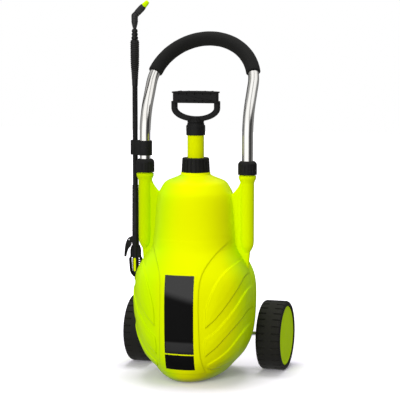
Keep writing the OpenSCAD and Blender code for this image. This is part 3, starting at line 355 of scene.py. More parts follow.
def turned(name, profile, axes=UPRIGHT, count=96, ripple=None, ease=0.6):
    """A closed profile of (radius, height) points turned about an axis, at radius + ripple(angle, r, z)."""
    line = eased(profile, ease) if ease else np.asarray(profile, float)
    angle = full_turn(count)
    r, z = line.T[:, :, None]
    if ripple is not None:
        r = r + ripple(angle, r, z)
    r = np.maximum(r, 0)
    local = points_of(r * np.cos(angle), r * np.sin(angle), z)
    return surface(name, placed(np.concatenate([local, local[:1]]), axes), wrap=True)


def plate(name, outline, thick, edge, axes=UPRIGHT, steps=3):
    """A flat plate of an outline, centred on its frame, whose rim is a quarter round of radius edge."""
    line = np.asarray(outline, float)
    if np.sum(line[:, 0] * np.roll(line[:, 1], -1) - line[:, 1] * np.roll(line[:, 0], -1)) < 0:
        line = line[::-1]
    tangent = np.roll(line, -1, axis=0) - np.roll(line, 1, axis=0)
    tangent = tangent / np.maximum(np.linalg.norm(tangent, axis=1), 1e-9)[:, None]
    outward = tangent[:, ::-1] * (1, -1)
    turn = np.linspace(0, np.pi / 2, steps + 1)
    inset = edge * (1 - np.sin(turn))
    depth = thick / 2 - edge * (1 - np.cos(turn))
    inset = np.concatenate([[edge + 0.25], inset, inset[::-1], [edge + 0.25]])
    depth = np.pad(np.concatenate([-depth, depth[::-1]]), 1, mode="edge")
    flat = line - inset[:, None, None] * outward
    local = points_of(flat[..., 0], flat[..., 1], depth[:, None])
    return surface(name, placed(local, axes), wrap=True, caps=True)


def swept(name, path, section, up, scale=1.0, end_scale=None):
    """A closed section carried along a path: path + scale (x side + y lift), closed inside by end_scale.

    side = tangent x up, and lift = side x tangent.
    """
    tangent = unit(np.gradient(path, axis=0))
    side = unit(np.cross(tangent, np.asarray(up, float)))
    lift = np.cross(side, tangent)
    scale = np.broadcast_to(scale, len(path))
    if end_scale is not None:
        path, side, lift = (np.vstack([line[:1], line, line[-1:]]) for line in (path, side, lift))
        scale = np.concatenate([[end_scale], scale, [end_scale]])
    offset = section[None, :, :1] * side[:, None] + section[None, :, 1:] * lift[:, None]
    return surface(name, path[:, None] + scale[:, None, None] * offset, wrap=True, caps=True)


def joined(name, pieces):
    """Several closed pieces as one mesh object at the origin."""
    whole = bmesh.new()
    for piece in pieces:
        whole.from_mesh(piece.data)
        del BUILT[piece.name]
        bpy.data.meshes.remove(piece.data)
    mesh = bpy.data.meshes.new(name)
    whole.to_mesh(mesh)
    whole.free()
    return link_mesh(name, mesh)


def finish_piece(piece, body, material, *stands_for):
    """Gives a piece its material and the body it rides on, and hides the CAD nodes that it stands for."""
    piece.data.materials.append(bpy.data.materials[material])
    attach(piece, body)
    if stands_for:
        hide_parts(*stands_for)


def dress(material, *names):
    """Puts a material on CAD nodes whose shape is kept."""
    for name in names:
        NODES[name].data.materials.clear()
        NODES[name].data.materials.append(bpy.data.materials[material])


# --- shader nodes
def feed(tree, socket, value):
    """Links an output into a node's input, or sets the input to a number, vector or colour."""
    if isinstance(value, bpy.types.NodeSocket):
        tree.links.new(value, socket)
    elif socket.type == "RGBA":
        socket.default_value = (*value[:3], 1.0)
    else:
        socket.default_value = value


def add_node(tree, kind, inputs=None, **settings):
    """A new shader node with its settings, whose inputs are fed by name or number."""
    node = tree.nodes.new("ShaderNode" + kind)
    for label, value in settings.items():
        setattr(node, label, value)
    for label, value in (inputs or {}).items():
        feed(tree, node.inputs[label], value)
    return node


def math_node(tree, operation, first, second=0.5, clamp=False):
    """A Math node on two outputs or numbers."""
    return add_node(tree, "Math", {0: first, 1: second}, operation=operation, use_clamp=clamp).outputs[0]


def times(tree, first, second, clamp=False):
    """First times second."""
    return math_node(tree, "MULTIPLY", first, second, clamp)


def plus(tree, first, second, clamp=False):
    """First plus second."""
    return math_node(tree, "ADD", first, second, clamp)


def rest_of(tree, share):
    """1 less a share."""
    return math_node(tree, "SUBTRACT", 1.0, share)


def ramp_between(tree, value, low, high):
    """Takes a value from 0 at low to 1 at high, eased at both ends."""
    inputs = {"Value": value, "From Min": low, "From Max": high}
    return add_node(tree, "MapRange", inputs, interpolation_type="SMOOTHSTEP").outputs["Result"]


def noise_node(tree, vector, scale, detail=2.0, rough=0.5):
    """A 3-D noise on a vector, of scale cells per metre."""
    inputs = {"Vector": vector, "Scale": scale, "Detail": detail, "Roughness": rough}
    return add_node(tree, "TexNoise", inputs).outputs["Fac"]


def place(tree):
    """The surface point in the shared frame, in metres."""
    return add_node(tree, "TexCoord").outputs["Object"]


def stretched(tree, **settings):
    """The surface point turned and scaled by a Mapping node."""
    return add_node(tree, "Mapping", {"Vector": place(tree), **settings}).outputs["Vector"]


def split_axes(tree, vector):
    """The X, Y and Z outputs of a vector."""
    return add_node(tree, "SeparateXYZ", {0: vector}).outputs


def mixed_colour(tree, mask, first, second):
    """Colour that goes from first to second as the mask goes from 0 to 1."""
    mix = tree.nodes.new("ShaderNodeMix")
    mix.data_type = "RGBA"
    for number, value in ((0, mask), (6, first), (7, second)):
        feed(tree, mix.inputs[number], value)
    return mix.outputs[2]


def shader_group(name, output, **inputs):
    """A new shader node group with float inputs, given with their defaults, and one float output."""
    group = bpy.data.node_groups.new(name, "ShaderNodeTree")
    for label, value in inputs.items():
        socket = group.interface.new_socket(
            name=label.replace("_", " "), in_out="INPUT", socket_type="NodeSocketFloat")
        socket.default_value = value
    group.interface.new_socket(name=output, in_out="OUTPUT", socket_type="NodeSocketFloat")
    return group, group.nodes.new("NodeGroupInput").outputs, group.nodes.new("NodeGroupOutput").inputs[0]


def cells_of(tree, size_mm):
    """Cells per metre of a cell size in millimetres."""
    return math_node(tree, "DIVIDE", 1000.0, size_mm)


def build_groups():
    """Grain, scuffs and dust: the effects that several materials share."""
    tree, given, out = shader_group("moulded_grain", "Height", Grain_mm=0.8, Wave_mm=14.0, Wave_share=0.3)
    where = place(tree)
    fine = noise_node(tree, where, cells_of(tree, given["Grain mm"]), 1.0, 0.4)
    broad = noise_node(tree, where, cells_of(tree, given["Wave mm"]), 1.5, 0.4)
    share = given["Wave share"]
    feed(tree, out, plus(tree, times(tree, fine, rest_of(tree, share)), times(tree, broad, share)))

    tree, given, out = shader_group("scuffs", "Mask", Length_mm=30.0, Amount=0.3)
    slanted = stretched(tree, Rotation=(0.3, 0.5, 0.7), Scale=(1.0, 9.0, 9.0))
    lines = noise_node(tree, slanted, cells_of(tree, given["Length mm"]), 3.0, 0.6)
    thin = ramp_between(tree, lines, 0.60, 0.70)
    zone = ramp_between(tree, noise_node(tree, place(tree), 18.0), 0.45, 0.70)
    feed(tree, out, times(tree, times(tree, thin, zone), given["Amount"], True))

    tree, given, out = shader_group("settled_dust", "Mask", Amount=0.2, Speck_mm=5.0)
    normal = add_node(tree, "NewGeometry").outputs["Normal"]
    upward = ramp_between(tree, split_axes(tree, normal)["Z"], 0.1, 1.0)
    speck = noise_node(tree, place(tree), cells_of(tree, given["Speck mm"]), 4.0, 0.65)
    feed(tree, out, times(tree, times(tree, upward, speck), given["Amount"], True))


def placed_group(tree, name, **values):
    """The output of a shader group placed in a material's tree with its own values."""
    inputs = {label.replace("_", " "): value for label, value in values.items()}
    return add_node(tree, "Group", inputs, node_tree=bpy.data.node_groups[name]).outputs[0]


# --- materials
# Grain of a material: fine grain in mm, slow waves in mm, and the waves' share of the height
FITTING_GRAIN = (0.7, 12.0, 0.25)
LIME_GRAIN = (1.2, 18.0, 0.6)
LIME_GLINT = (0.72, 1.0, 0.0)
DUST = (0.32, 0.29, 0.24)


def shade(colour, by):
    """A colour times one number or three, kept at 1 or less."""
    return np.minimum(np.multiply(tuple(colour), by), 1).tolist()


def socket_of(tree, label):
    """An input of the material's Principled shader."""
    return tree.nodes["Principled BSDF"].inputs[label]


def present(tree, label):
    """The output that feeds an input of the Principled shader now."""
    return socket_of(tree, label).links[0].from_socket


def layer_colour(tree, mask, colour):
    """Lays a colour over the present Base Color by a mask."""
    feed(tree, socket_of(tree, "Base Color"), mixed_colour(tree, mask, present(tree, "Base Color"), colour))


def layer_bump(tree, height, distance, strength=1.0):
    """Adds a height of so many millimetres to the present normal."""
    inputs = {"Strength": strength, "Distance": distance * MM, "Height": height}
    if socket_of(tree, "Normal").links:
        inputs["Normal"] = present(tree, "Normal")
    feed(tree, socket_of(tree, "Normal"), add_node(tree, "Bump", inputs).outputs["Normal"])


def low_dust(tree, top, cells, amount, colour):
    """Specks of dirt under a height in metres, thickest at the floor."""
    low = rest_of(tree, ramp_between(tree, split_axes(tree, place(tree))["Z"], 0.0, top))
    speck = noise_node(tree, place(tree), cells, 4.0, 0.6)
    layer_colour(tree, times(tree, times(tree, low, speck), amount), colour)


def finish_material(name, colour, rough, grain, bump, tint, scuff, dust=0.0, swing=0.06, metallic=0.0,
                    **sockets):
    """A Principled material: patchy tint, scuffs and dust in its colour and roughness, grain as bump.

    The grain's height, bump, is in millimetres. sockets sets further inputs of the shader.
    """
    material = bpy.data.materials.new(name)
    material.use_nodes = True
    tree = material.node_tree
    patches = ramp_between(tree, noise_node(tree, place(tree), 11.0), 0.35, 0.65)
    rubbed = placed_group(tree, "scuffs", Amount=scuff)
    worn = 0.8 if metallic else 0.75 + 0.125 / max(colour)
    base = mixed_colour(tree, patches, colour, shade(colour, tint))
    feed(tree, socket_of(tree, "Base Color"), mixed_colour(tree, rubbed, base, shade(colour, worn)))
    roughness = plus(tree, rough, times(tree, rubbed, 0.35))
    roughness = plus(tree, roughness, times(tree, patches, swing))
    if dust:
        settled = placed_group(tree, "settled_dust", Amount=dust)
        layer_colour(tree, settled, DUST)
        roughness = plus(tree, roughness, times(tree, settled, 0.5), True)
    feed(tree, socket_of(tree, "Roughness"), roughness)
    feed(tree, socket_of(tree, "Metallic"), metallic)
    height = placed_group(tree, "moulded_grain", Grain_mm=grain[0], Wave_mm=grain[1], Wave_share=grain[2])
    layer_bump(tree, height, bump)
    for label, value in sockets.items():
        feed(tree, socket_of(tree, label.replace("_", " ")), value)
    return tree


def streaked_metal(name, colour, rough, stretch, bump, scuff):
    """A drawn metal: noise stretched along its length moves its roughness by 0.03 either way."""
    tree = finish_material(name, colour, rough, (0.5, 30.0, 0.9), bump, tint=(0.98, 0.97, 0.96),
                           scuff=scuff, swing=0.02, metallic=1.0)
    lines = noise_node(tree, stretched(tree, Scale=stretch), 1.0, 3.0, 0.6)
    swing = times(tree, math_node(tree, "SUBTRACT", lines, 0.5), 0.06)
    feed(tree, socket_of(tree, "Roughness"), plus(tree, present(tree, "Roughness"), swing))


def tyre_material(name, colour):
    """Moulded rubber, paler with dust towards the floor."""
    tree = finish_material(name, colour, 0.60, (0.9, 16.0, 0.35), bump=0.05, tint=(1.25, 1.22, 1.15),
                           scuff=0.12, dust=0.04, Specular_IOR_Level=0.17)
    low_dust(tree, top=0.05, cells=160.0, amount=0.06, colour=(0.25, 0.23, 0.19))


def foam_material(name, colour):
    """Closed-cell foam: a Voronoi of 1.2 mm cells presses small pits into a dull skin."""
    tree = finish_material(name, colour, 0.80, (1.6, 22.0, 0.4), bump=0.02, tint=1.08, scuff=0.05, dust=0.01,
                           Specular_IOR_Level=0.15, Sheen_Weight=0.02, Sheen_Roughness=0.5)
    cells = add_node(tree, "TexVoronoi", {"Vector": place(tree), "Scale": 800.0})
    layer_bump(tree, cells.outputs["Distance"], distance=0.15, strength=0.3)


def skin_field(tree, name):
    """One of the values that tank_grid stores at the skin's points."""
    return add_node(tree, "Attribute", attribute_name=name).outputs["Fac"]


def painted_front_light(tree, colour):
    """Painted light: the front is painted yellower, as if lit, and the flanks stay greener: red eases down as
    |flank - 0.12| goes from 0.3 to 0.85.
    """
    away = math_node(tree, "ABSOLUTE", math_node(tree, "SUBTRACT", skin_field(tree, "flank"), 0.12))
    front = rest_of(tree, ramp_between(tree, away, 0.30, 0.85))
    # painted light: a yellower copy of the tank colour laid over its front
    layer_colour(tree, times(tree, front, 0.95), shade(colour, (1.42, 1, 1)))


def pressed_edges(tree):
    """Crisp rims of the leaves and the shield: their fields rise by drop mm where they pass FIELD_ZERO."""
    height = 0.0
    for name, half, drop in (("leaf_mm", 0.6, 1.3), ("shield_mm", 0.7, 0.9)):
        rise = ramp_between(tree, skin_field(tree, name), FIELD_ZERO - half, FIELD_ZERO + half)
        height = plus(tree, height, times(tree, rise, drop))
    layer_bump(tree, height, 1.0)


def tank_material(name, colour, moulded_skin):
    """Satin polyethylene: slow waves in its skin, rub marks near its foot, and painted light: a yellower lit
    front on the moulded skin, or a brighter right half elsewhere.
    """
    tree = finish_material(name, colour, 0.34, (2.2, 26.0, 0.75), bump=0.08, tint=(0.97, 0.985, 1.0),
                           scuff=0.10, dust=0.02, Specular_IOR_Level=0.08, Specular_Tint=LIME_GLINT)
    if moulded_skin:
        painted_front_light(tree, colour)
        pressed_edges(tree)
    else:
        # painted light: the right-hand socket and web painted 30% brighter, as if lit
        right = ramp_between(tree, split_axes(tree, place(tree))["X"], 0.04, 0.08)
        layer_colour(tree, times(tree, right, 0.9), shade(colour, 1.30))
    low_dust(tree, top=0.022, cells=220.0, amount=0.25, colour=(0.30, 0.31, 0.12))


def film_material(name, colour):
    """The label's film: matt black, with a varnished band across its top and one above its gap line."""
    tree = finish_material(name, colour, 0.30, (0.5, 12.0, 0.7), bump=0.01, tint=1.2, scuff=0.05,
                           swing=0.03, Specular_IOR_Level=0.05, Coat_Roughness=0.15)
    x, _, z = split_axes(tree, place(tree))
    top = ramp_between(tree, plus(tree, z, times(tree, x, 0.24)), 0.190, 0.212)
    band_top = rest_of(tree, ramp_between(tree, z, 0.097, 0.103))
    low_band = times(tree, band_top, ramp_between(tree, z, 0.0705, 0.0715))
    shine = math_node(tree, "MAXIMUM", top, times(tree, low_band, 0.55))
    feed(tree, socket_of(tree, "Coat Weight"), shine)


def build_materials(colours):
    """Makes every material of the cart from the chosen colours."""
    lime, black = tuple(colours.tank), tuple(colours.black)
    tank_material("tank_plastic", lime, True)
    tank_material("socket_plastic", shade(lime, (0.98, 0.86, 1.0)), False)
    plain = {"bump": 0.03, "tint": (0.97, 0.98, 1.0)}
    finish_material("lime_plastic", shade(lime, (1.27, 0.93, 1.0)), 0.32, LIME_GRAIN, **plain, scuff=0.1,
                    dust=0.02, Specular_IOR_Level=0.08, Specular_Tint=LIME_GLINT)
    finish_material("cover_plastic", shade(lime, 1.02), 0.40, LIME_GRAIN, **plain, scuff=0.05, dust=0.01,
                    Specular_IOR_Level=0.03)
    film_material("film_black", (0.0025, 0.0025, 0.0025))
    fitting = {"bump": 0.035, "tint": 1.25, "scuff": 0.15, "dust": 0.02}
    finish_material("black_moulded", black, 0.42, FITTING_GRAIN, **fitting, Specular_IOR_Level=0.12)
    finish_material("grey_moulded", (0.21, 0.22, 0.23), 0.45, FITTING_GRAIN, bump=0.04, tint=0.93, scuff=0.3)
    finish_material("red_moulded", (0.50, 0.02, 0.015), 0.36, FITTING_GRAIN, bump=0.035, tint=0.9, scuff=0.3)
    finish_material("soft_black", shade(black, 0.7), 0.50, (0.5, 8.0, 0.3), bump=0.04, tint=1.3, scuff=0.1,
                    dust=0.02, Specular_IOR_Level=0.06, Coat_Weight=0.4, Coat_Roughness=0.16)
    finish_material("ribbed_black", black, 0.42, FITTING_GRAIN, **fitting, Specular_IOR_Level=0.07,
                    Coat_Weight=0.8, Coat_Roughness=0.25)
    tyre_material("tyre_rubber", tuple(colours.tyre))
    foam_material("grip_foam", tuple(colours.foam))
    streaked_metal("polished_tube", tuple(colours.metal), 0.13, stretch=(900.0, 900.0, 14.0), bump=0.0002,
                   scuff=0.03)
    streaked_metal("plated_steel", (0.62, 0.62, 0.63), 0.26, stretch=(14.0, 900.0, 900.0), bump=0.004,
                   scuff=0.3)


# --- tank
def level_line():
    """The tank's levels as one smooth line: low + (high - low) share between foot, belly, waist, neck."""
    spans = ((FOOT, BELLY, FOOT_SHARES), (BELLY, WAIST, BELLY_SHARES), (WAIST, NECK, WAIST_SHARES))
    knots = [np.array(low) + np.subtract(high, low) * np.array([share + share[:1] for share in shares])
             for low, high, shares in spans]
    return through(np.vstack(knots), 24)


def leaf_distance(flat):
    """Signed distance of (x, z) points to the nearest leaf's outline, positive inside."""
    nearest = np.full(len(flat), -1e3)
    for lines in LEAVES:
        outline = np.vstack([through(line, 6) if len(line) > 2 else line for line in lines])
        gap = line_distance(flat, np.vstack([outline, outline[:1]]))
        nearest = np.maximum(nearest, np.where(inside_outline(flat, outline), gap, -gap))
    return nearest


def shield_distance(flat):
    """Signed distance of (x, z) points to the shield's edge, positive on the shield."""
    edge = through(SHIELD_EDGE, 8)
    gap = line_distance(flat, edge)
    order = np.argsort(edge[:, 1])
    outside = flat[:, 0] > np.interp(flat[:, 1], edge[order, 1], edge[order, 0])
    return np.where(outside, -gap, gap)


def pressed_forms(sizes, x_leaf, x_shield, z, sine, fields):
    """Rise of the front skin over its plain form, in millimetres.

    A leaf rises by smoothstep(-2, 2, d) (1 + 0.25 smoothstep(4, 16, d)). Outside the shield the skin drops by
    a step that fades over 40 mm, and a line 1 mm wide is pressed along the edge. Both fade towards the flank.
    """
    leaf, shield = (distance(points_of(np.abs(x), z).reshape(-1, 2)).reshape(x.shape)
                    for distance, x in ((leaf_distance, x_leaf), (shield_distance, x_shield)))
    leaf_fade, shield_fade = np.clip(-3 * sine, 0, 1), np.clip(-5 * sine, 0, 1)
    span = band(24, 40, 300, 326, z)
    fields["leaf_mm"] = np.clip(leaf, -9, 9) * leaf_fade + FIELD_ZERO
    fields["shield_mm"] = np.clip(shield, -9, 9) * span * shield_fade + FIELD_ZERO
    pad = smooth_step(-2, 2, leaf) * (1 + 0.25 * smooth_step(4, 16, leaf))
    fall = sizes.shield_step / MM * band(0, 2.2, 6, 40, -shield)
    groove = 0.9 * np.exp(-shield ** 2)
    return pad * sizes.pad_rise / MM * leaf_fade - (fall + groove) * span * shield_fade


def axle_bed(x, y, z):
    """The back skin pressed flat 8 mm behind the axle, with a slot 4.5 mm in front of it for the axle."""
    face, floor, slot_reach = AXLE_Y + 8, AXLE_Y - 4.5, 130
    above = np.abs(z - AXLE_Z)
    window = (1 - smooth_step(60, 72, np.abs(x))) * (1 - smooth_step(24, 32, above))
    y = np.where(y > face, y + (face - y) * window, y)
    slot = (1 - smooth_step(4.2, 5.6, above)) * smooth_step(AXLE_Y - 9, AXLE_Y - 3, y)
    return y - slot * np.maximum(y - floor, 0) * (np.abs(x) < slot_reach)


def tank_grid(side, rows, cols, sizes, low, high, fields):
    """Half of the tank's skin: (w c|c|^(2/n-1), d s|s|^(2/n-1), z), with w, d, n from the levels.

    c and s are the cosine and sine of the grid's angle; side -1 is the front half and 1 the back half.
    fields gets each point's sideways turn, and on the front skin the distances to the pressed rims.
    """
    line = level_line()
    ends = [[np.interp(z, line[:, 0], column) for column in line.T] for z in (low, high)]
    line = np.vstack([ends[0], line[(line[:, 0] > low) & (line[:, 0] < high)], ends[1]])
    weights = np.array([1, 1, 1, 1, 0.01])
    z, half, front, back, n = (respaced(line * weights, rows) / weights).T[:, :, None]
    reach = front if side < 0 else back
    turn = np.linspace(0, 1, cols)
    turn = turn - 0.05 * np.sin(4 * np.pi * turn) / np.pi
    angle = (np.pi * turn + (np.pi if side < 0 else 0))[None]
    cosine, sine = np.cos(angle), np.sin(angle)
    sine[:, [0, -1]] = 0
    along, across = power(cosine, 2 / n), power(sine, 2 / n)
    sideways, forward = power(along, n - 1) / half, power(across, n - 1) / reach
    # The flank values are eased towards the waist, which moves where the painted front light fades.
    slim = smooth_step(270, 330, z)
    flank = (0.96 * sideways + 0.28 * forward) / np.hypot(sideways, forward)
    fields["flank"] = flank * (1 - 0.28 * slim) - 0.05 * slim
    grow = 0
    if side < 0 and high <= WAIST[0]:
        wider = half + LEAF_REACH * np.clip(-3 * sine, 0, 1)
        grow = pressed_forms(sizes, wider * along, half * along, z, sine, fields)
    parting = 0.5 * np.exp(-((reach * across) / 0.9) ** 2) * smooth_step(8, 24, z)
    x = (half + grow + parting) * along
    y = (reach + grow) * across
    return points_of(x, axle_bed(x, y, z) if side > 0 else y, z)


def add_tank(sizes):
    """The two moulded halves, the sockets with their webs, the neck, and the bosses behind."""
    grids = []
    for name, how in (("tank_front_skin", (-1, 268, 360, sizes, FOOT[0], WAIST[0])),
                      ("tank_front_upper", (-1, 110, 360, sizes, WAIST[0], NECK[0])),
                      ("tank_back_skin", (1, 180, 260, sizes, FOOT[0], NECK[0]))):
        fields = {}
        grids.append(tank_grid(*how, fields))
        piece = surface(name, grids[-1], weld=False)
        for label, values in fields.items():
            piece.data.attributes.new(label, "FLOAT", "POINT").data.foreach_set("value", values.ravel())
        finish_piece(piece, "cart", "tank_plastic")
    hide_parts("tank")
    rim = np.concatenate([grids[0][0], grids[2][0][1:-1]])
    count = len(rim)
    fan = [[count, (k + 1) % count, k] for k in range(count)]
    finish_piece(lay_mesh("tank_base", np.vstack([rim, rim.mean(axis=0)]), fan, weld=False),
                 "cart", "tank_plastic")
    nut_z = float(cad_box("pump_nut")[0][2])
    parts = [turned("tank_neck", [
        (24, 490), (24, 456), (34, 456), (34.4, 462), (33.8, nut_z - 1), (33.4, nut_z - 0.2),
        (28, nut_z - 0.2), (28, 490)], count=128, ease=1.0)]
    boss_y, boss_z = 94, cad_middle("outlet_nut")[2]
    for word in ("outlet", "relief"):
        axes = axis_frame((cad_middle(word + "_seal")[0], 0, boss_z), (0, 1, 0))
        parts.append(turned("boss_" + word, [
            (7, boss_y), (7, 70), (15.8, 70), (15.8, 84), (15, boss_y)], axes, 64, ease=1.6))
    finish_piece(joined("tank_neck_and_bosses", parts), "cart", "tank_plastic")
    sockets = [make(word, side) for side, word in SIDES for make in (socket, web)]
    finish_piece(joined("tank_sockets", sockets), "cart", "socket_plastic")


def socket(word, side):
    """One handle socket, turned: round tip, plain barrel, flared ring and the stub under the nut."""
    bore, barrel, ring, tip = 13.0, 15.5, 20.0, 9.0
    a = np.radians(np.linspace(0, 72, 8))[1:]
    round_tip = points_of(tip * np.sin(a), 288 + tip - tip * np.cos(a)).tolist()
    profile = [(0.01, 288)] + round_tip + [
        (11, 298), (13.6, 303.5), (15, 309), (barrel, 316), (barrel, 449), (17.2, 454), (19.2, 458),
        (ring, 461), (ring, 465), (19.4, 466), (17, 466.2), (17, 486), (bore, 486), (bore, 318), (0.01, 318)]
    return turned("socket_" + word, profile, at(side * LEG_X, 0), 72, ease=0.9)


def web(word, side):
    """The web between a socket and the body: an 11 mm rounded bar whose two ends change with height.

    x = (inner + outer) / 2 + s + sign(s) (outer - inner - 20) / 2, where s is the 20 mm section's own x.
    """
    inside = through([(236, 70), (380, 74), (418, 84), (428, 92), (438, 100), (447, 105), (456, 108)], 8)
    outside = through([(236, 116), (242, 123), (250, 127.2), (272, 127.6), (296, 130), (306, 130.6),
                       (316, 126), (326, 122), (400, 122), (456, 122)], 8)
    z = np.linspace(236, 456, 112)[:, None]
    inner, outer = (np.interp(z, *line.T) for line in (inside, outside))
    s, y = box_line(-10, 10, -5.5, 5.5, 5.04, 5).T[:, None]
    x = (inner + outer) / 2 + s + np.sign(s) * (outer - inner - 20) / 2
    return surface("web_" + word, points_of(side * x, y, z), wrap=True, caps=True)


# --- camera rays
RAY_RUNS = np.arange(2.6, 3.8, 0.02)     # metres from the camera at which a ray that misses is tried


def camera_axes():
    """Right, up and forward of the camera: forward = (-sin t cos p, cos t cos p, sin p)."""
    t, p = math.radians(CAMERA_TURN), math.radians(CAMERA_PITCH)
    forward = np.array([-math.sin(t) * math.cos(p), math.cos(t) * math.cos(p), math.sin(p)])
    right = np.array([math.cos(t), math.sin(t), 0.0])
    return right, np.cross(right, forward), forward


def pixels(piece):
    """Image x and y of a finished piece's vertices, with its modifiers."""
    seen = piece.evaluated_get(bpy.context.evaluated_depsgraph_get())
    co = np.empty(len(seen.data.vertices) * 3)
    seen.data.vertices.foreach_get("co", co)
    right, up, forward = camera_axes()
    gap = co.reshape(-1, 3) / MM - CAMERA_AT
    scale = LENS / SENSOR * max(IMAGE_W, IMAGE_H) / (gap @ forward)
    return points_of(IMAGE_W / 2 + gap @ right * scale, IMAGE_H / 2 - gap @ up * scale)


def ray_to(x, y, carrier):
    """Where the ray through image point (x, y) first meets a piece, or the piece's place nearest to it."""
    right, up, forward = camera_axes()
    far = max(IMAGE_W, IMAGE_H) * LENS / SENSOR
    way = Vector(unit(right * (x - IMAGE_W / 2) + up * (IMAGE_H / 2 - y) + forward * far))
    eye = Vector(CAMERA_AT * MM)
    tree = BVHTree.FromObject(carrier, bpy.context.evaluated_depsgraph_get())
    hits = [tree.ray_cast(eye, way)]
    if hits[0][0] is None:
        hits = [tree.find_nearest(eye + way * run) for run in RAY_RUNS]
    return np.array(min(hits, key=lambda hit: hit[3])[0]) / MM


# --- label
def label_sheet(name, half, z_low, z_high, lift=0.55):
    """A film lifted off the front at y = -(d + g)(1 - |x/(w + g)|^n)^(1/n), its rim turned into the skin."""
    across, down = (np.pad(np.linspace(0, 1, count), 2, mode="edge") for count in (25, 49))
    x, z = np.meshgrid(half * (2 * across - 1), z_low + (z_high - z_low) * down)
    near = np.minimum(np.minimum(x + half, half - x), np.minimum(z - z_low, z_high - z))
    grow = lift * smooth_step(-0.1, 0.8, near)
    grow[[0, -1]] = grow[:, [0, -1]] = -0.6
    line = level_line()
    wide, front, n = (np.interp(z, line[:, 0], line[:, k]) for k in (1, 2, 4))
    y = -(front + grow) * (1 - (np.abs(x) / (wide + grow)) ** n) ** (1 / n)
    return surface(name, points_of(x, y, z), weld=False)


def add_label():
    """The bare black label: two films with a thin gap line where the photograph shows it."""
    low, high = cad_box("front_label")
    half = cad_size("front_label")[0] / 2
    line_z = ray_to(*IMAGE_POINTS["label_line"], BUILT["tank_front_skin"])[2]
    line_z = float(np.clip(line_z, low[2] + 25, low[2] + 45))
    gap = 1.4
    finish_piece(label_sheet("label_lower", half, low[2], line_z - gap), "cart", "film_black")
    finish_piece(label_sheet("label_upper", half, line_z + gap, high[2]),
                 "cart", "film_black", "front_label")


# --- wheels
def tyre_grid(sizes, count=720):
    """Tyre skin (x, r cos a, r sin a): r = wheel radius - flattened round shoulder - grooves.

    grooves = depth (1 - smoothstep(1, 1.9, d)), d from the middle line of each bar of two rows.
    """
    shoulder, flatten, bar_middle, bar_half = 7.5, 0.86, 11, 7.9
    far = WHEEL_W - shoulder
    step = np.linspace(0, 1, 14) * shoulder
    wide = np.concatenate([step[:-1], np.linspace(shoulder, far, 56), far + step[1:]])
    out = np.clip(np.maximum(shoulder - wide, wide - far), 0, shoulder) / shoulder
    round_off = shoulder * (1 - np.sqrt(1 - out ** 2)) * flatten
    x, a = np.meshgrid(wide, full_turn(count), indexing="ij")
    radius = WHEEL_R - round_off[:, None]
    off = from_rib(a + np.pi / sizes.tread_blocks, sizes.tread_blocks, WHEEL_R)
    for middle in (bar_middle, WHEEL_W - bar_middle):
        end = np.maximum(np.abs(x - middle) - bar_half, 0)
        radius = radius - sizes.tread_depth / MM * (1 - smooth_step(1.0, 1.9, np.hypot(end, off)))
    side = np.array([(0.6, RIM_R + 0.2), (0, RIM_R + 1.2), (0, WHEEL_R - 9.5)])
    low, high = (np.repeat(line[:, None], count, axis=1)
                 for line in (side, side[::-1] * (-1, 1) + (WHEEL_W, 0)))
    x, r = np.moveaxis(np.concatenate([low, np.stack([x, radius], axis=-1), high, low[:1]]), -1, 0)
    return points_of(x, r * np.cos(a[0]), r * np.sin(a[0]))


def wheel_frame(side):
    """Frame of a wheel's pieces: x runs out along the axle from the wheel's inner face on its side."""
    return np.array([side * WHEEL_IN, AXLE_Y, AXLE_Z]), side * X_AXIS, Y_AXIS, Z_AXIS


def wheel_turned(name, profile, side, count=128, ease=0.8):
    """A profile of (radius, x) turned round the wheel's axis."""
    origin, out, y, z = wheel_frame(side)
    return turned(name, profile, (origin, y, z, out), count, ease=ease)


def rim_pieces(side, word):
    """The rim: barrel, hub, a web disc with six round holes, and six ribs."""
    inner, disc, hub, hole = RIM_R - 3, WHEEL_W - 14, 15, 13
    parts = [wheel_turned(f"{word}_rim_barrel", [
        (inner, 1), (RIM_R, 1), (RIM_R, WHEEL_W - 6), (inner, WHEEL_W - 6)], side)]
    parts.append(wheel_turned(f"{word}_hub", [
        (5.3, 1), (hub, 1), (hub, disc + 4), (5.3, disc + 4)], side, 64))
    axes = wheel_frame(side)
    angle = full_turn(144)
    middle = (hub + inner) / 2
    sector = np.mod(angle, np.pi / 3) - np.pi / 6
    gap = np.sqrt(np.maximum(hole ** 2 - (middle * np.sin(sector)) ** 2, 0))
    share = np.linspace(0, 1, 9)[:, None]
    for face, x in (("in", disc), ("out", disc + 4)):
        for tag, low, high in (("a", hub - 0.2, middle * np.cos(sector) - gap),
                               ("b", middle * np.cos(sector) + gap, inner + 0.2)):
            r = low + (high - low) * share
            local = points_of(x, r * np.cos(angle), r * np.sin(angle))
            parts.append(surface(f"{word}_disc_{face}_{tag}", placed(local, axes), wrap=True, turn_out=False))
    origin, out, y, z = axes
    for k in range(6):
        radial = y * math.cos(math.radians(60 * k)) + z * math.sin(math.radians(60 * k))
        parts.append(plate(f"{word}_rib_{k}", box_line(4, disc + 0.5, 14, inner + 0.5, 1.0), 3.0, 0.5,
                           (origin, out, radial, np.cross(out, radial)), steps=2))
    return parts


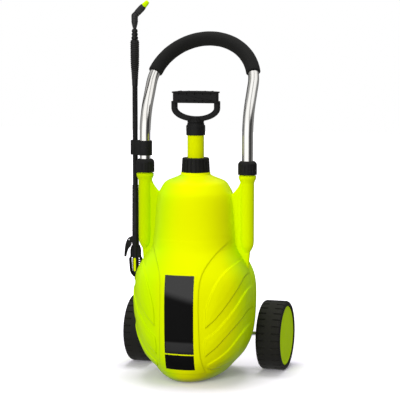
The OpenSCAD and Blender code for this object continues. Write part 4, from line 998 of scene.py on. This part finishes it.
def add_wheels(sizes):
    """Both wheels: moulded tyres, ribbed rims and lime discs with a raised rim."""
    grid = tyre_grid(sizes)
    inner, outer = RIM_R - 3.1, RIM_R - 0.1
    disc_line = np.array([
        (0.01, -4.6), (inner - 4, -4.6), (inner - 4, -9), (inner, -9), (inner, -6), (outer, -6),
        (outer, -3.7), (outer - 1.4, -2.4), (outer - 6.2, -2.4), (outer - 8.2, -3.3), (outer - 20, -2.5),
        (18, -1.7), (0.01, -1.6)]) + (0, WHEEL_W)
    for side, word in SIDES:
        body = word + "_wheel"
        tyre = surface(word + "_tyre_skin", placed(grid, wheel_frame(side)), wrap=True)
        finish_piece(tyre, body, "tyre_rubber", word + "_tyre")
        rim = joined(word + "_rim_moulding", rim_pieces(side, word))
        finish_piece(rim, body, "black_moulded", word + "_rim")
        disc = wheel_turned(word + "_disc", disc_line, side, 160, ease=1.0)
        finish_piece(disc, body, "cover_plastic", word + "_cover")


# --- handle
BEND_Z = 594.0            # height where the legs' straight line meets the leaning bow's
LEAN = math.radians(31.5)
BEND_R = 160.0
LEAN_RUN = 90.0           # from there to the start of the half circle
LEG_FOOT = 322.0
LEAN_UP = (0, math.cos(LEAN), -math.sin(LEAN))


def leaning(x, run):
    """Points of the leaning frame: (x, run sin(lean), bend height + run cos(lean))."""
    return points_of(x, run * math.sin(LEAN), BEND_Z + run * math.cos(LEAN))


def bow(turn):
    """Points of the leaning half circle at some angles."""
    return leaning(LEG_X * np.cos(turn), LEAN_RUN + LEG_X * np.sin(turn))


def handle_path():
    """The tube's centre line: a leg, an arc of the lean, a straight run, the half circle, and back down."""
    reach = BEND_R * math.tan(LEAN / 2)
    leg = points_of(-LEG_X, 0, np.linspace(LEG_FOOT, BEND_Z - reach, 60)[:-1])
    a = np.linspace(0, LEAN, 26)
    bend = points_of(-LEG_X, BEND_R * (1 - np.cos(a)), BEND_Z - reach + BEND_R * np.sin(a))
    rise = leaning(-LEG_X, np.linspace(reach, LEAN_RUN, 12)[1:-1])
    half = np.vstack([leg, bend, rise, bow(np.linspace(np.pi, np.pi / 2, 60))])
    return np.vstack([half, (half * (-1, 1, 1))[-2::-1]])


def add_handle():
    """The polished tube, and the foam grip on its bow with rounded ends and a slightly uneven skin."""
    tube = swept("handle_bow", handle_path(), circle(TUBE_R, 56), LEAN_UP)
    finish_piece(tube, "handle", "polished_tube", "handle_tube")
    start, count, foam_r, end_r = math.radians(14.5), 190, 16.8, 1.6
    run = np.linspace(0, 1, count)
    end = np.minimum(run, 1 - run) * (math.pi - 2 * start) * LEG_X
    rounded = end_r * (1 - np.sqrt(1 - np.clip(1 - end / end_r, 0, 1) ** 2))
    radius = foam_r - 0.2 * (1 - smooth_step(0, 9, end)) - rounded
    radius = radius + 0.10 * np.sin(run * 61) * np.sin(run * 23 + 1)
    path = bow(np.linspace(math.pi - start, start, count))
    grip = swept("foam_sleeve", path, circle(1.0, 64), LEAN_UP, radius, end_scale=12.7)
    finish_piece(grip, "handle", "grip_foam", "foam_grip")


def fluted(count, radius, depth, edge, span, inner, shift=0.0):
    """Ripple of grip ribs: -depth smoothstep(edge, from_rib) band(span, z) smoothstep(inner, r)."""
    def ripple(angle, r, z):
        """Change of radius at an angle, radius and height."""
        cut = smooth_step(*edge, from_rib(angle + shift, count, radius))
        return -depth * cut * band(*span, z) * smooth_step(*inner, r)
    return ripple


def ridged(pitch, rise, low, high, inside):
    """Ripple of round ridges: rise (|sin(pi z / pitch)|^0.7 - 0.5) between two heights, outside a radius."""
    def ripple(angle, r, z):
        """Change of radius at an angle, radius and height."""
        ridge = np.abs(np.sin(np.pi * z / pitch)) ** 0.7 - 0.5
        return rise * ridge * band(low, low + 1, high - 1, high, z) * (r > inside)
    return ripple


def add_clamp_nuts():
    """The two nuts that clamp the legs: rounded top, plain band below, thin grip grooves."""
    outer = 21.5
    profile = [(17.3, 468), (20.9, 468)] + [(outer, z) for z in (468.8, 471, 473, 477, 481, 485, 489)] + [
                (21.4, 491.5), (20.6, 494.4), (18.6, 497.3), (15.8, 499), (13.2, 499), (12.8, 498.4),
                (12.8, 494.3), (17.3, 494.3)]
    grooves = fluted(16, 21, 0.9, edge=(1.2, 0.3), span=(471, 473, 489, 492), inner=(19, 20),
                     shift=np.pi / 16)
    for side, word in SIDES:
        nut = turned(word + "_clamp_ring", profile, at(side * LEG_X, 0), 192, grooves, 0.7)
        finish_piece(nut, word + "_clamp", "black_moulded", word + "_clamp_nut")


def arc(x, y, radius, start, end, count):
    """Points of an arc about (x, y) between two angles in degrees."""
    a = np.radians(np.linspace(start, end, count))
    return points_of(x + radius * np.cos(a), y + radius * np.sin(a))


def add_clip():
    """The lance's clip: a C round the lance with its mouth towards -X, a round back, and a screw's lug."""
    x, y = LANCE
    inner, outer, mouth = 6.3, 9.7, 8.4
    low, high = cad_box("lance_clip")
    middle = cad_middle("lance_clip")[2]
    outline = np.vstack([
        [(x - mouth, y + inner), (x - mouth, y + outer), (x, y + outer)], arc(-LEG_X, 0, 16.5, 125, -132, 36),
        [(x, y - outer), (x - mouth, y - outer), (x - mouth, y - inner), (x, y - inner)],
        arc(x, y, inner, -90, 90, 24), [(x, y + inner)]])
    parts = [plate("clip_block", eased(outline, 0.8, 2), high[2] - low[2], 0.9, at(0, 0, middle)),
             plate("clip_lug", box_line(-5, 5, -6.5, 6.5, 2.4, 5), 18, 0.8, at(-LEG_X, TUBE_R + 8, middle))]
    finish_piece(joined("lance_holder", parts), "handle", "black_moulded", "lance_clip")


# --- pump
def add_pump(sizes):
    """The ribbed neck nut, the lime cylinder, its cap, and the stirrup handle."""
    slope = [(32.6 - 0.2 * k, 473 + 27.5 * k / 8) for k in range(9)]
    bars = fluted(sizes.nut_ribs, 31, 1.7, edge=(2.9, 3.6), span=(472.4, 473.4, 499, 502),
                  inner=(28.5, 29.5))
    nut = turned("neck_nut_ribbed", [(28.4, 471.5), (32.3, 471.5), (32.7, 472.3)] + slope + [
        (30.8, 502.6), (29.4, 504.3), (19.4, 504.5), (19.4, 496.3), (28.4, 496.3)], UPRIGHT, 480, bars, 0.5)
    finish_piece(nut, "neck_nut", "black_moulded", "pump_nut")
    tube, bore = 19, 16
    barrel = turned("pump_barrel", [(0.01, 172)] + [(tube, z) for z in (172, 250, 330, 410, 492)] + [
        (28, 492), (28, 496), (tube, 496), (tube, 530), (tube, 580), (bore, 580), (bore, 176), (0.01, 176)],
        count=128, ease=0.5)
    finish_piece(barrel, "pump", "lime_plastic", "pump_cylinder")
    cap = turned("barrel_cap", [
        (19.1, 555.5), (21, 555.5), (21.8, 556.6), (21.8, 562), (21.8, 570), (21.8, 576.5), (21, 578.6),
        (19.7, 579.4), (19.4, 580.4), (19.4, 583.1), (18.6, 583.8), (6.8, 583.8), (6.3, 583.2), (6.3, 580.1),
        (19.1, 580.1)], count=160)
    finish_piece(cap, "pump", "black_moulded", "cylinder_cap")
    finish_piece(joined("pump_stirrup", stirrup_pieces()), "plunger", "black_moulded", "pump_handle")


def stirrup_pieces():
    """The pump's handle: a half round bow under an I-shaped bar with gussets, on a ribbed hub."""
    (_, _, foot), (half, _, top) = cad_box("pump_handle")
    bar, side_z, bottom = 628.8, 617.8, 592.6
    a = np.radians(np.linspace(0, 180, 60))
    stem = np.linspace(bar + 4, side_z, 8)[:-1]
    centre = half - 6.2
    path = np.vstack([points_of(centre, 0, stem),
                      points_of(centre * np.cos(a), 0, side_z - (side_z - bottom) * np.sin(a)),
                      points_of(-centre, 0, stem[::-1])])
    parts = [swept("stirrup", path, box_line(-6.1, 6.1, -8, 8, 3.84, 6), Y_AXIS)]
    for name, reach, low, high, wide, edge in (("bar_foot", half - 2.4, bar, bar + 4.5, 26, 1.3),
                                               ("bar_web", half - 5, bar + 3, top - 3, 19, 1.2)):
        parts.append(plate(name, box_line(-reach, reach, low, high, 1.2), wide, edge, FACING, 4))
    x = np.linspace(-half + 3.6, half - 3.6, 40)
    crown = points_of(x, top - 0.2 - 1.6 * np.abs(x / half) ** 2.5)[::-1]
    crown = np.vstack([points_of(x, top - 4.8), crown])
    parts.append(plate("bar_crown", crown, 26, 1.3, FACING, 4))
    for x in (-38, -19, 0, 19, 38):
        for low, high in ((bar + 1, bar + 7.5), (top - 8, top + 0.1)):
            parts.append(plate(f"bar_gusset_{x}_{low:.0f}", box_line(x - 0.9, x + 0.9, low, high, 0.3),
                               24.6, 0.5, FACING, 2))
    hub = np.array([(6.1, 0), (18.4, 0), (19, 0.8), (19, 3.2), (18.2, 4), (17.2, 5.5), (15.4, 8.2),
                    (13.5, 11.4), (10, 12.4), (6.1, 12.4)]) + (0, foot)
    ribs = fluted(12, 16, 1.3, edge=(1.4, 2.2), span=(588, 589.4, bar, bar + 1), inner=(11, 12))
    return parts + [turned("handle_hub", hub, UPRIGHT, 192, ribs, 0.7)]


# --- lance
def add_boots():
    """The two ridged rubber boots below and above the lance's valve."""
    axes = at(*LANCE)
    bore = 6.02
    foot, top = (float(corner[2]) for corner in cad_box("lower_boot"))
    line = finely([(7.9, foot), (7.0, top)], 0.7)
    lower = turned("lower_boot_ridged", np.vstack([[(bore, foot)], line, [(bore, top)]]), axes, 48,
                   ridged(3.4, 1.1, foot, top, inside=6.3), ease=0)
    finish_piece(lower, "lance", "soft_black", "lower_boot")
    foot, top = (float(corner[2]) for corner in cad_box("upper_boot"))
    neck = 768.0
    line = finely([(6.5, foot), (7.4, foot + 26), (9.2, foot + 48), (9.7, foot + 70), (9.7, neck + 2)], 0.6)
    rings = np.array([(6.4, 5), (7.8, 6.5), (7.8, 10), (6.3, 11.5), (6.2, 13.5), (7.3, 15), (7.3, 18),
                      (5.9, 19.5), (5.8, 21), (6.9, 22.5), (6.9, 25.5), (5.6, 27.5), (5.4, top - neck)])
    rings = finely(rings + (0, neck), 1.0)
    profile = np.vstack([[(bore, foot)], line, rings, [(3.8, top), (3.8, neck + 4), (bore, neck + 4)]])
    upper = turned("upper_boot_ridged", profile, axes, 48,
                   ridged(4.8, 1.5, foot + 16, neck + 1, inside=6.2), ease=0)
    finish_piece(upper, "lance", "soft_black", "upper_boot")


def add_valve():
    """The valve's column with its ladder grip, panels and ears, and the trigger."""
    base = float(cad_box("valve_inlay")[0][2]) - 19.1
    upright = at(*LANCE, base)
    facing = upright[:1] + FACING[1:]
    parts = [turned("valve_column", [(0.01, 10), (5.2, 10), (7, 14), (7, 78), (8, 79), (8, 111), (7.4, 112),
                                     (0.01, 112)], upright, 56, ease=1.0)]
    rail_line = np.array([(4, 7), (12, 17), (14, 33), (15, 48), (12, 54), (11.6, 69), (9, 78), (7, 81)])
    ear = eased([(-18, 96.5), (-14.6, 98.8), (-6, 103), (0, 106), (0, 82), (-11, 89.4), (-17.4, 90.4)], 2.2)
    for side, word in ((-1, "a"), (1, "b")):
        knots = np.array([(side * (x - 1.3), z, 0) for x, z in rail_line])
        rail = respaced(through(placed(knots, facing), 8), 80)
        parts.append(swept("grip_rail_" + word, rail, box_line(-1.4, 1.4, -6, 6, 1.32), Y_AXIS))
        for k in range(7):
            z = 18.6 + 4.7 * k
            reach = float(np.interp(z, [17, 33, 48, 54], [12, 14, 15, 12])) - 1.5
            parts.append(plate(f"rung_{word}_{k}", box_line(side * 6, side * reach, z - 0.9, z + 0.9, 0.4),
                               10.6, 0.5, facing, 2))
        panel = np.array([(5, 51), (12, 52), (11.4, 69), (8, 78), (5, 79)]) * (side, 1)
        parts.append(plate("upper_panel_" + word, eased(panel, 1.0), 9.0, 0.8, facing, 2))
        parts.append(plate("ear_" + word, ear, 3.0, 0.7, (upright[0] + 6.5 * side * Y_AXIS,) + FACING[1:]))
    finish_piece(joined("valve_grip", parts), "lance", "black_moulded", "valve_body")
    inner = through([(-13, 77), (-19, 70), (-22.5, 61), (-24.6, 52)], 5)
    lever = np.vstack([[(-11.6, 95), (-11.5, 89), (-11.5, 81)], inner, [
        (-27.6, 53), (-26.6, 69), (-24.5, 83), (-21, 92), (-17.2, 97.6), (-13, 98.4)]])
    trigger = plate("trigger_lever", eased(lever, 1.0, 2), 9.4, 1.5, facing, 4)
    finish_piece(trigger, "trigger_lever", "black_moulded", "trigger")


def add_nozzle():
    """The elbow, the fluted cap and the lime tip, along an axis tilted 45 degrees."""
    foot = float(cad_box("nozzle_elbow")[0][2])
    knee = foot + 28
    upright = at(*LANCE, knee)
    tilt = axis_frame(upright[0], (1, 0, 1), Y_AXIS)
    foot_line = finely([(3.52, foot), (4.5, foot), (5.2, foot + 4), (6.5, foot + 9), (7.3, foot + 14),
                        (7.5, knee), (3.52, knee)], 0.8)
    parts = [turned("elbow_foot", foot_line, at(*LANCE), 48,
                    ridged(4.0, 0.9, foot + 3, knee - 1, inside=4.2), ease=0)]
    ball = arc(0, 0, 7.6, -90, 90, 17)
    ball[:, 0] = np.maximum(ball[:, 0], 0.01)
    parts.append(turned("elbow_ball", ball, upright, 48, ease=0))
    arm = finely([(2, -1), (7.2, -1), (7.2, 7.6), (5, 8), (5, 21), (2, 21)], 1.0)
    parts.append(turned("elbow_arm", arm, tilt, 48, ridged(4.0, 0.8, 0, 8, inside=5.4), ease=0))
    finish_piece(joined("nozzle_knee", parts), "lance_extension", "ribbed_black", "nozzle_elbow")

    def flutes(angle, r, z):
        """Round rings with 12 grooves across them: 0.7 (rings - smoothstep of the distance from a rib)."""
        rings = np.abs(np.sin(np.pi * z / 3.2)) ** 0.6 - 0.5
        cut = smooth_step(1.0, 1.5, from_rib(angle, 12, 7))
        return 0.7 * (rings - cut) * band(10, 11, 28, 29, z) * smooth_step(6.4, 6.8, r)
    collar = finely([(5.3, 9), (7.2, 9), (7.7, 10), (7.8, 24), (7.3, 29), (6.4, 32), (2.8, 32), (2.8, 21.5),
                     (5.3, 21.5)], 1.0)
    cap = turned("nozzle_collar", collar, tilt, 96, flutes, ease=0)
    finish_piece(cap, "nozzle", "ribbed_black", "nozzle_cap")
    tip = turned("nozzle_jet", [
        (1, 24), (2.6, 24), (2.7, 32.05), (6.1, 32.05), (6.3, 33), (6.1, 36), (5.6, 40), (4.9, 43.6),
        (3.8, 46), (1.3, 46), (1, 45.4)], tilt, 64, ease=0.5)
    finish_piece(tip, "nozzle", "cover_plastic", "nozzle_tip")


def dress_cad_nodes():
    """Materials for the CAD nodes whose shape is shown as it is."""
    dress("plated_steel", "axle", "axle_rings", "clip_screws", "left_push_nut", "right_push_nut", "clip_bolt",
          "piston_rod", "handle_pin", "trigger_pin", "valve_stem", "valve_spring", "relief_spring")
    dress("black_moulded", "outlet_fitting", "outlet_nut", "dip_filter", "relief_body", "axle_clips",
          "leg_plugs", "piston", "lance_tube", "hose_tail", "inner_tube")
    dress("soft_black", "outlet_seal", "relief_seal", "pump_gasket", "check_valve", "piston_ring",
          "lance_seal")
    dress("grey_moulded", "dip_tube", "left_collet", "right_collet")
    dress("red_moulded", "relief_knob")
    dress("lime_plastic", "valve_inlay")


# --- studio
ROOM_LIGHT = 0.51         # even light of the room on matt surfaces
FLOOR_LIGHT = 0.55        # brightness of the reflected studio from below
# Brightness of the reflected studio round the horizon: degrees from straight ahead (-Y) towards +X, level
PANELS = ((-180, 0.03), (-122, 0.04), (-114, 0.33), (-56, 0.42), (-44, 1.25), (28, 1.25), (42, 0.28),
          (54, 0.06), (102, 0.06), (114, 0.26), (158, 0.22), (172, 0.03), (180, 0.03))
# The same for reflections from above, which the leaning tubes show
HIGH_PANELS = ((-180, 0.45), (-66, 0.45), (-50, 1.15), (18, 1.15), (30, 0.42), (40, 0.42), (52, 1.15),
               (112, 1.0), (124, 0.45), (180, 0.45))


def link_object(name, data, spot=(0, 0, 0), turn=(0, 0, 0)):
    """A new object of some data at a spot in metres, with its turn."""
    made = bpy.data.objects.new(name, data)
    made.location = spot
    made.rotation_euler = turn
    bpy.context.scene.collection.objects.link(made)
    return made


def add_light(name, spot, aim, size, watts, colour=(1.0, 1.0, 1.0)):
    """A square soft light in metres, turned towards a point and unseen in reflections."""
    lamp = bpy.data.lights.new(name, "AREA")
    lamp.size = size
    lamp.energy = watts
    lamp.color = colour
    turn = (Vector(aim) - Vector(spot)).to_track_quat("-Z", "Y").to_euler()
    link_object(name, lamp, spot, turn).visible_glossy = False


def floor_material():
    """A pale floor that keeps the cart's shadow and glows towards white away from it, to the camera."""
    material = bpy.data.materials.new("studio_floor")
    material.use_nodes = True
    tree = material.node_tree
    tree.nodes.clear()
    camera = add_node(tree, "LightPath").outputs["Is Camera Ray"]
    tint = mixed_colour(tree, camera, (0.30, 0.27, 0.30), (0.93, 0.90, 0.985))
    away = add_node(tree, "VectorMath", {0: place(tree)}, operation="LENGTH").outputs["Value"]
    level = plus(tree, 0.10, times(tree, ramp_between(tree, away, 0.45, 1.6), 0.8))
    matt = add_node(tree, "BsdfDiffuse", {"Color": tint}).outputs[0]
    glow = add_node(tree, "Emission", {"Strength": times(tree, level, camera)}).outputs[0]
    both = add_node(tree, "AddShader", {0: matt, 1: glow}).outputs[0]
    add_node(tree, "OutputMaterial", {"Surface": both})
    return material


def panel_ramp(tree, share, panels):
    """The panels' brightness round the horizon, as a colour ramp over the share of a full turn."""
    bands = add_node(tree, "ValToRGB", {0: share})
    stops = bands.color_ramp.elements
    for degrees, level in panels[1:-1]:
        stops.new(degrees / 360 + 0.5).color = (level, level, level * 0.97, 1)
    for stop, (_, level) in ((stops[0], panels[0]), (stops[-1], panels[-1])):
        stop.color = (level, level, level, 1)
    return bands.outputs["Color"]


def blended(tree, share, first, second):
    """Value that goes from first to second as the share goes from 0 to 1."""
    return plus(tree, times(tree, first, rest_of(tree, share)), times(tree, second, share))


def build_world():
    """White to the camera, an even room for matt surfaces, and tall soft panels for reflections."""
    world = bpy.data.worlds.new("studio")
    bpy.context.scene.world = world
    world.use_nodes = True
    tree = world.node_tree
    tree.nodes.clear()
    x, y, z = split_axes(tree, add_node(tree, "TexCoord").outputs["Generated"])
    turn = math_node(tree, "ARCTAN2", x, times(tree, y, -1.0))
    share = plus(tree, math_node(tree, "DIVIDE", turn, 2 * math.pi), 0.5)
    above = ramp_between(tree, z, 0.28, 0.50)
    below = ramp_between(tree, times(tree, z, -1.0), 0.25, 0.55)
    studio = blended(tree, above, panel_ramp(tree, share, PANELS), panel_ramp(tree, share, HIGH_PANELS))
    studio = blended(tree, below, studio, FLOOR_LIGHT)
    rays = add_node(tree, "LightPath").outputs
    level = blended(tree, rays["Is Glossy Ray"], ROOM_LIGHT, studio)
    camera = math_node(tree, "MAXIMUM", rays["Is Camera Ray"], rays["Is Transmission Ray"])
    sky = add_node(tree, "Background", {"Strength": blended(tree, camera, level, 1.0), "Color": (1, 1, 1)})
    add_node(tree, "OutputWorld", {"Surface": sky.outputs[0]})


def add_stage():
    """Floor, world, two soft lights and the camera fitted to the photograph."""
    reach = 9.0
    floor = bpy.data.meshes.new("studio_floor")
    corners = [(-reach, -reach, 0), (reach, -reach, 0), (reach, reach, 0), (-reach, reach, 0)]
    floor.from_pydata(corners, [], [(0, 1, 2, 3)])
    floor.materials.append(floor_material())
    ground = link_object("studio_floor", floor)
    ground.visible_glossy = False
    build_world()
    add_light("key_front", (-0.34, -2.40, 0.95), aim=(0.0, 0.0, 0.35), size=1.0, watts=32,
              colour=(1.0, 0.995, 0.98))
    add_light("top_soft", (-0.12, 0.40, 2.5), aim=(0.0, 0.0, 0.1), size=1.2, watts=42)
    lens = bpy.data.cameras.new("photo_camera")
    lens.lens = LENS
    lens.sensor_width = SENSOR
    lens.sensor_fit = "AUTO"
    lens.clip_end = 50
    turn = (math.radians(90 + CAMERA_PITCH), 0, math.radians(CAMERA_TURN))
    scene = bpy.context.scene
    scene.camera = link_object("photo_camera", lens, CAMERA_AT * MM, turn)
    scene.view_settings.view_transform = "Standard"


# --- where each image point shows: a piece's farthest place in an image direction, or a piece's middle
FARTHEST = {"left_edge": ("all", -1, 0), "right_edge": ("all", 1, 0), "top_edge": ("all", 0, -1),
            "bottom_edge": ("all", 0, 1), "grip_apex": ("foam_sleeve", 0, -1),
            "trigger_tip": ("trigger_lever", 0, 1), "label_low_left": ("label_lower", -1, 1),
            "label_low_right": ("label_lower", 1, 1), "label_high_right": ("label_upper", 1, -1),
            "label_high_left": ("label_upper", -1, -1)}
MIDDLES = {"left_clamp_nut": "left_clamp_ring", "right_clamp_nut": "right_clamp_ring",
           "right_disc": "right_disc", "nozzle_knee": "nozzle_knee", "valve_inlay": "valve_inlay"}


def write_points():
    """Finds where the thing of each image point shows, from the finished vertices; the places are not written
    out.
    """
    shown = {name: pixels(piece) for name, piece in BUILT.items()}
    shown.update((name, pixels(NODES[name])) for name in ("lance_tube", "valve_inlay"))
    shown["all"] = np.vstack(list(shown.values()))
    low = {name: points.min(axis=0) for name, points in shown.items()}
    high = {name: points.max(axis=0) for name, points in shown.items()}
    middle = {name: (low[name] + high[name]) / 2 for name in shown}
    found = {name: middle[piece] for name, piece in MIDDLES.items()}
    for name, (piece, *way) in FARTHEST.items():
        found[name] = shown[piece][np.argmax(shown[piece] @ way)]
    found["pump_cap_top"] = np.array([middle["barrel_cap"][0], low["barrel_cap"][1]])
    found["pump_nut_foot"] = np.array([middle["neck_nut_ribbed"][0], high["neck_nut_ribbed"][1]])
    found["label_line"] = (high["label_upper"] + low["label_lower"]) / 2


# --- operators
class SPRAYER_OT_materials(bpy.types.Operator):
    """Build the cart's materials and their shared shader groups"""

    bl_idname = "sprayer.materials"
    bl_label = "Materials"

    def execute(self, context):
        build_groups()
        build_materials(context.scene.sprayer_colours)
        dress_cad_nodes()
        return {"FINISHED"}


class SPRAYER_OT_stage(bpy.types.Operator):
    """Set up the floor, lights, world and camera"""

    bl_idname = "sprayer.stage"
    bl_label = "Stage"

    def execute(self, context):
        add_stage()
        return {"FINISHED"}


class SPRAYER_OT_tank(bpy.types.Operator):
    """Build the moulded tank with its sockets, webs and neck"""

    bl_idname = "sprayer.tank"
    bl_label = "Tank"

    def execute(self, context):
        add_tank(context.scene.sprayer_sizes)
        return {"FINISHED"}


class SPRAYER_OT_label(bpy.types.Operator):
    """Lay the bare label on the tank's front"""

    bl_idname = "sprayer.label"
    bl_label = "Label"

    def execute(self, context):
        add_label()
        return {"FINISHED"}


class SPRAYER_OT_wheels(bpy.types.Operator):
    """Build both wheels with tyres, rims and discs"""

    bl_idname = "sprayer.wheels"
    bl_label = "Wheels"

    def execute(self, context):
        add_wheels(context.scene.sprayer_sizes)
        return {"FINISHED"}


class SPRAYER_OT_handle(bpy.types.Operator):
    """Build the polished bow, its foam grip and the two clamp nuts"""

    bl_idname = "sprayer.handle"
    bl_label = "Handle"

    def execute(self, context):
        add_handle()
        add_clamp_nuts()
        return {"FINISHED"}


class SPRAYER_OT_pump(bpy.types.Operator):
    """Build the hand pump with its nut, barrel, cap and stirrup"""

    bl_idname = "sprayer.pump"
    bl_label = "Pump"

    def execute(self, context):
        add_pump(context.scene.sprayer_sizes)
        return {"FINISHED"}


class SPRAYER_OT_lance(bpy.types.Operator):
    """Build the lance with its clip, boots, valve grip, trigger and nozzle"""

    bl_idname = "sprayer.lance"
    bl_label = "Lance"

    def execute(self, context):
        add_clip()
        add_boots()
        add_valve()
        add_nozzle()
        return {"FINISHED"}


class SPRAYER_PT_panel(bpy.types.Panel):
    """Lists the cart's operators and settings in the sidebar"""

    bl_label = "Sprayer Cart"
    bl_idname = "SPRAYER_PT_panel"
    bl_space_type = "VIEW_3D"
    bl_region_type = "UI"
    bl_category = "Sprayer"

    def draw(self, context):
        column = self.layout.column(align=True)
        for step in STEPS:
            column.operator(step.bl_idname)
        for group in (context.scene.sprayer_colours, context.scene.sprayer_sizes):
            box = self.layout.box()
            for key in group.__annotations__:
                box.prop(group, key)


STEPS = (SPRAYER_OT_materials, SPRAYER_OT_stage, SPRAYER_OT_tank, SPRAYER_OT_label, SPRAYER_OT_wheels,
         SPRAYER_OT_handle, SPRAYER_OT_pump, SPRAYER_OT_lance)
CLASSES = (SprayerColours, SprayerSizes) + STEPS + (SPRAYER_PT_panel,)


def register():
    """Registers the classes and hangs the settings on the scene."""
    for cls in CLASSES:
        bpy.utils.register_class(cls)
    bpy.types.Scene.sprayer_colours = bpy.props.PointerProperty(type=SprayerColours)
    bpy.types.Scene.sprayer_sizes = bpy.props.PointerProperty(type=SprayerSizes)


def unregister():
    """Takes the settings and classes away again."""
    del bpy.types.Scene.sprayer_colours
    del bpy.types.Scene.sprayer_sizes
    for cls in reversed(CLASSES):
        bpy.utils.unregister_class(cls)


def main():
    register()
    for step in STEPS:
        name = step.bl_idname.split(".")[1]
        if getattr(bpy.ops.sprayer, name)() != {"FINISHED"}:
            raise RuntimeError("the step " + name + " did not finish")
    write_points()


if __name__ == "__main__":
    main()
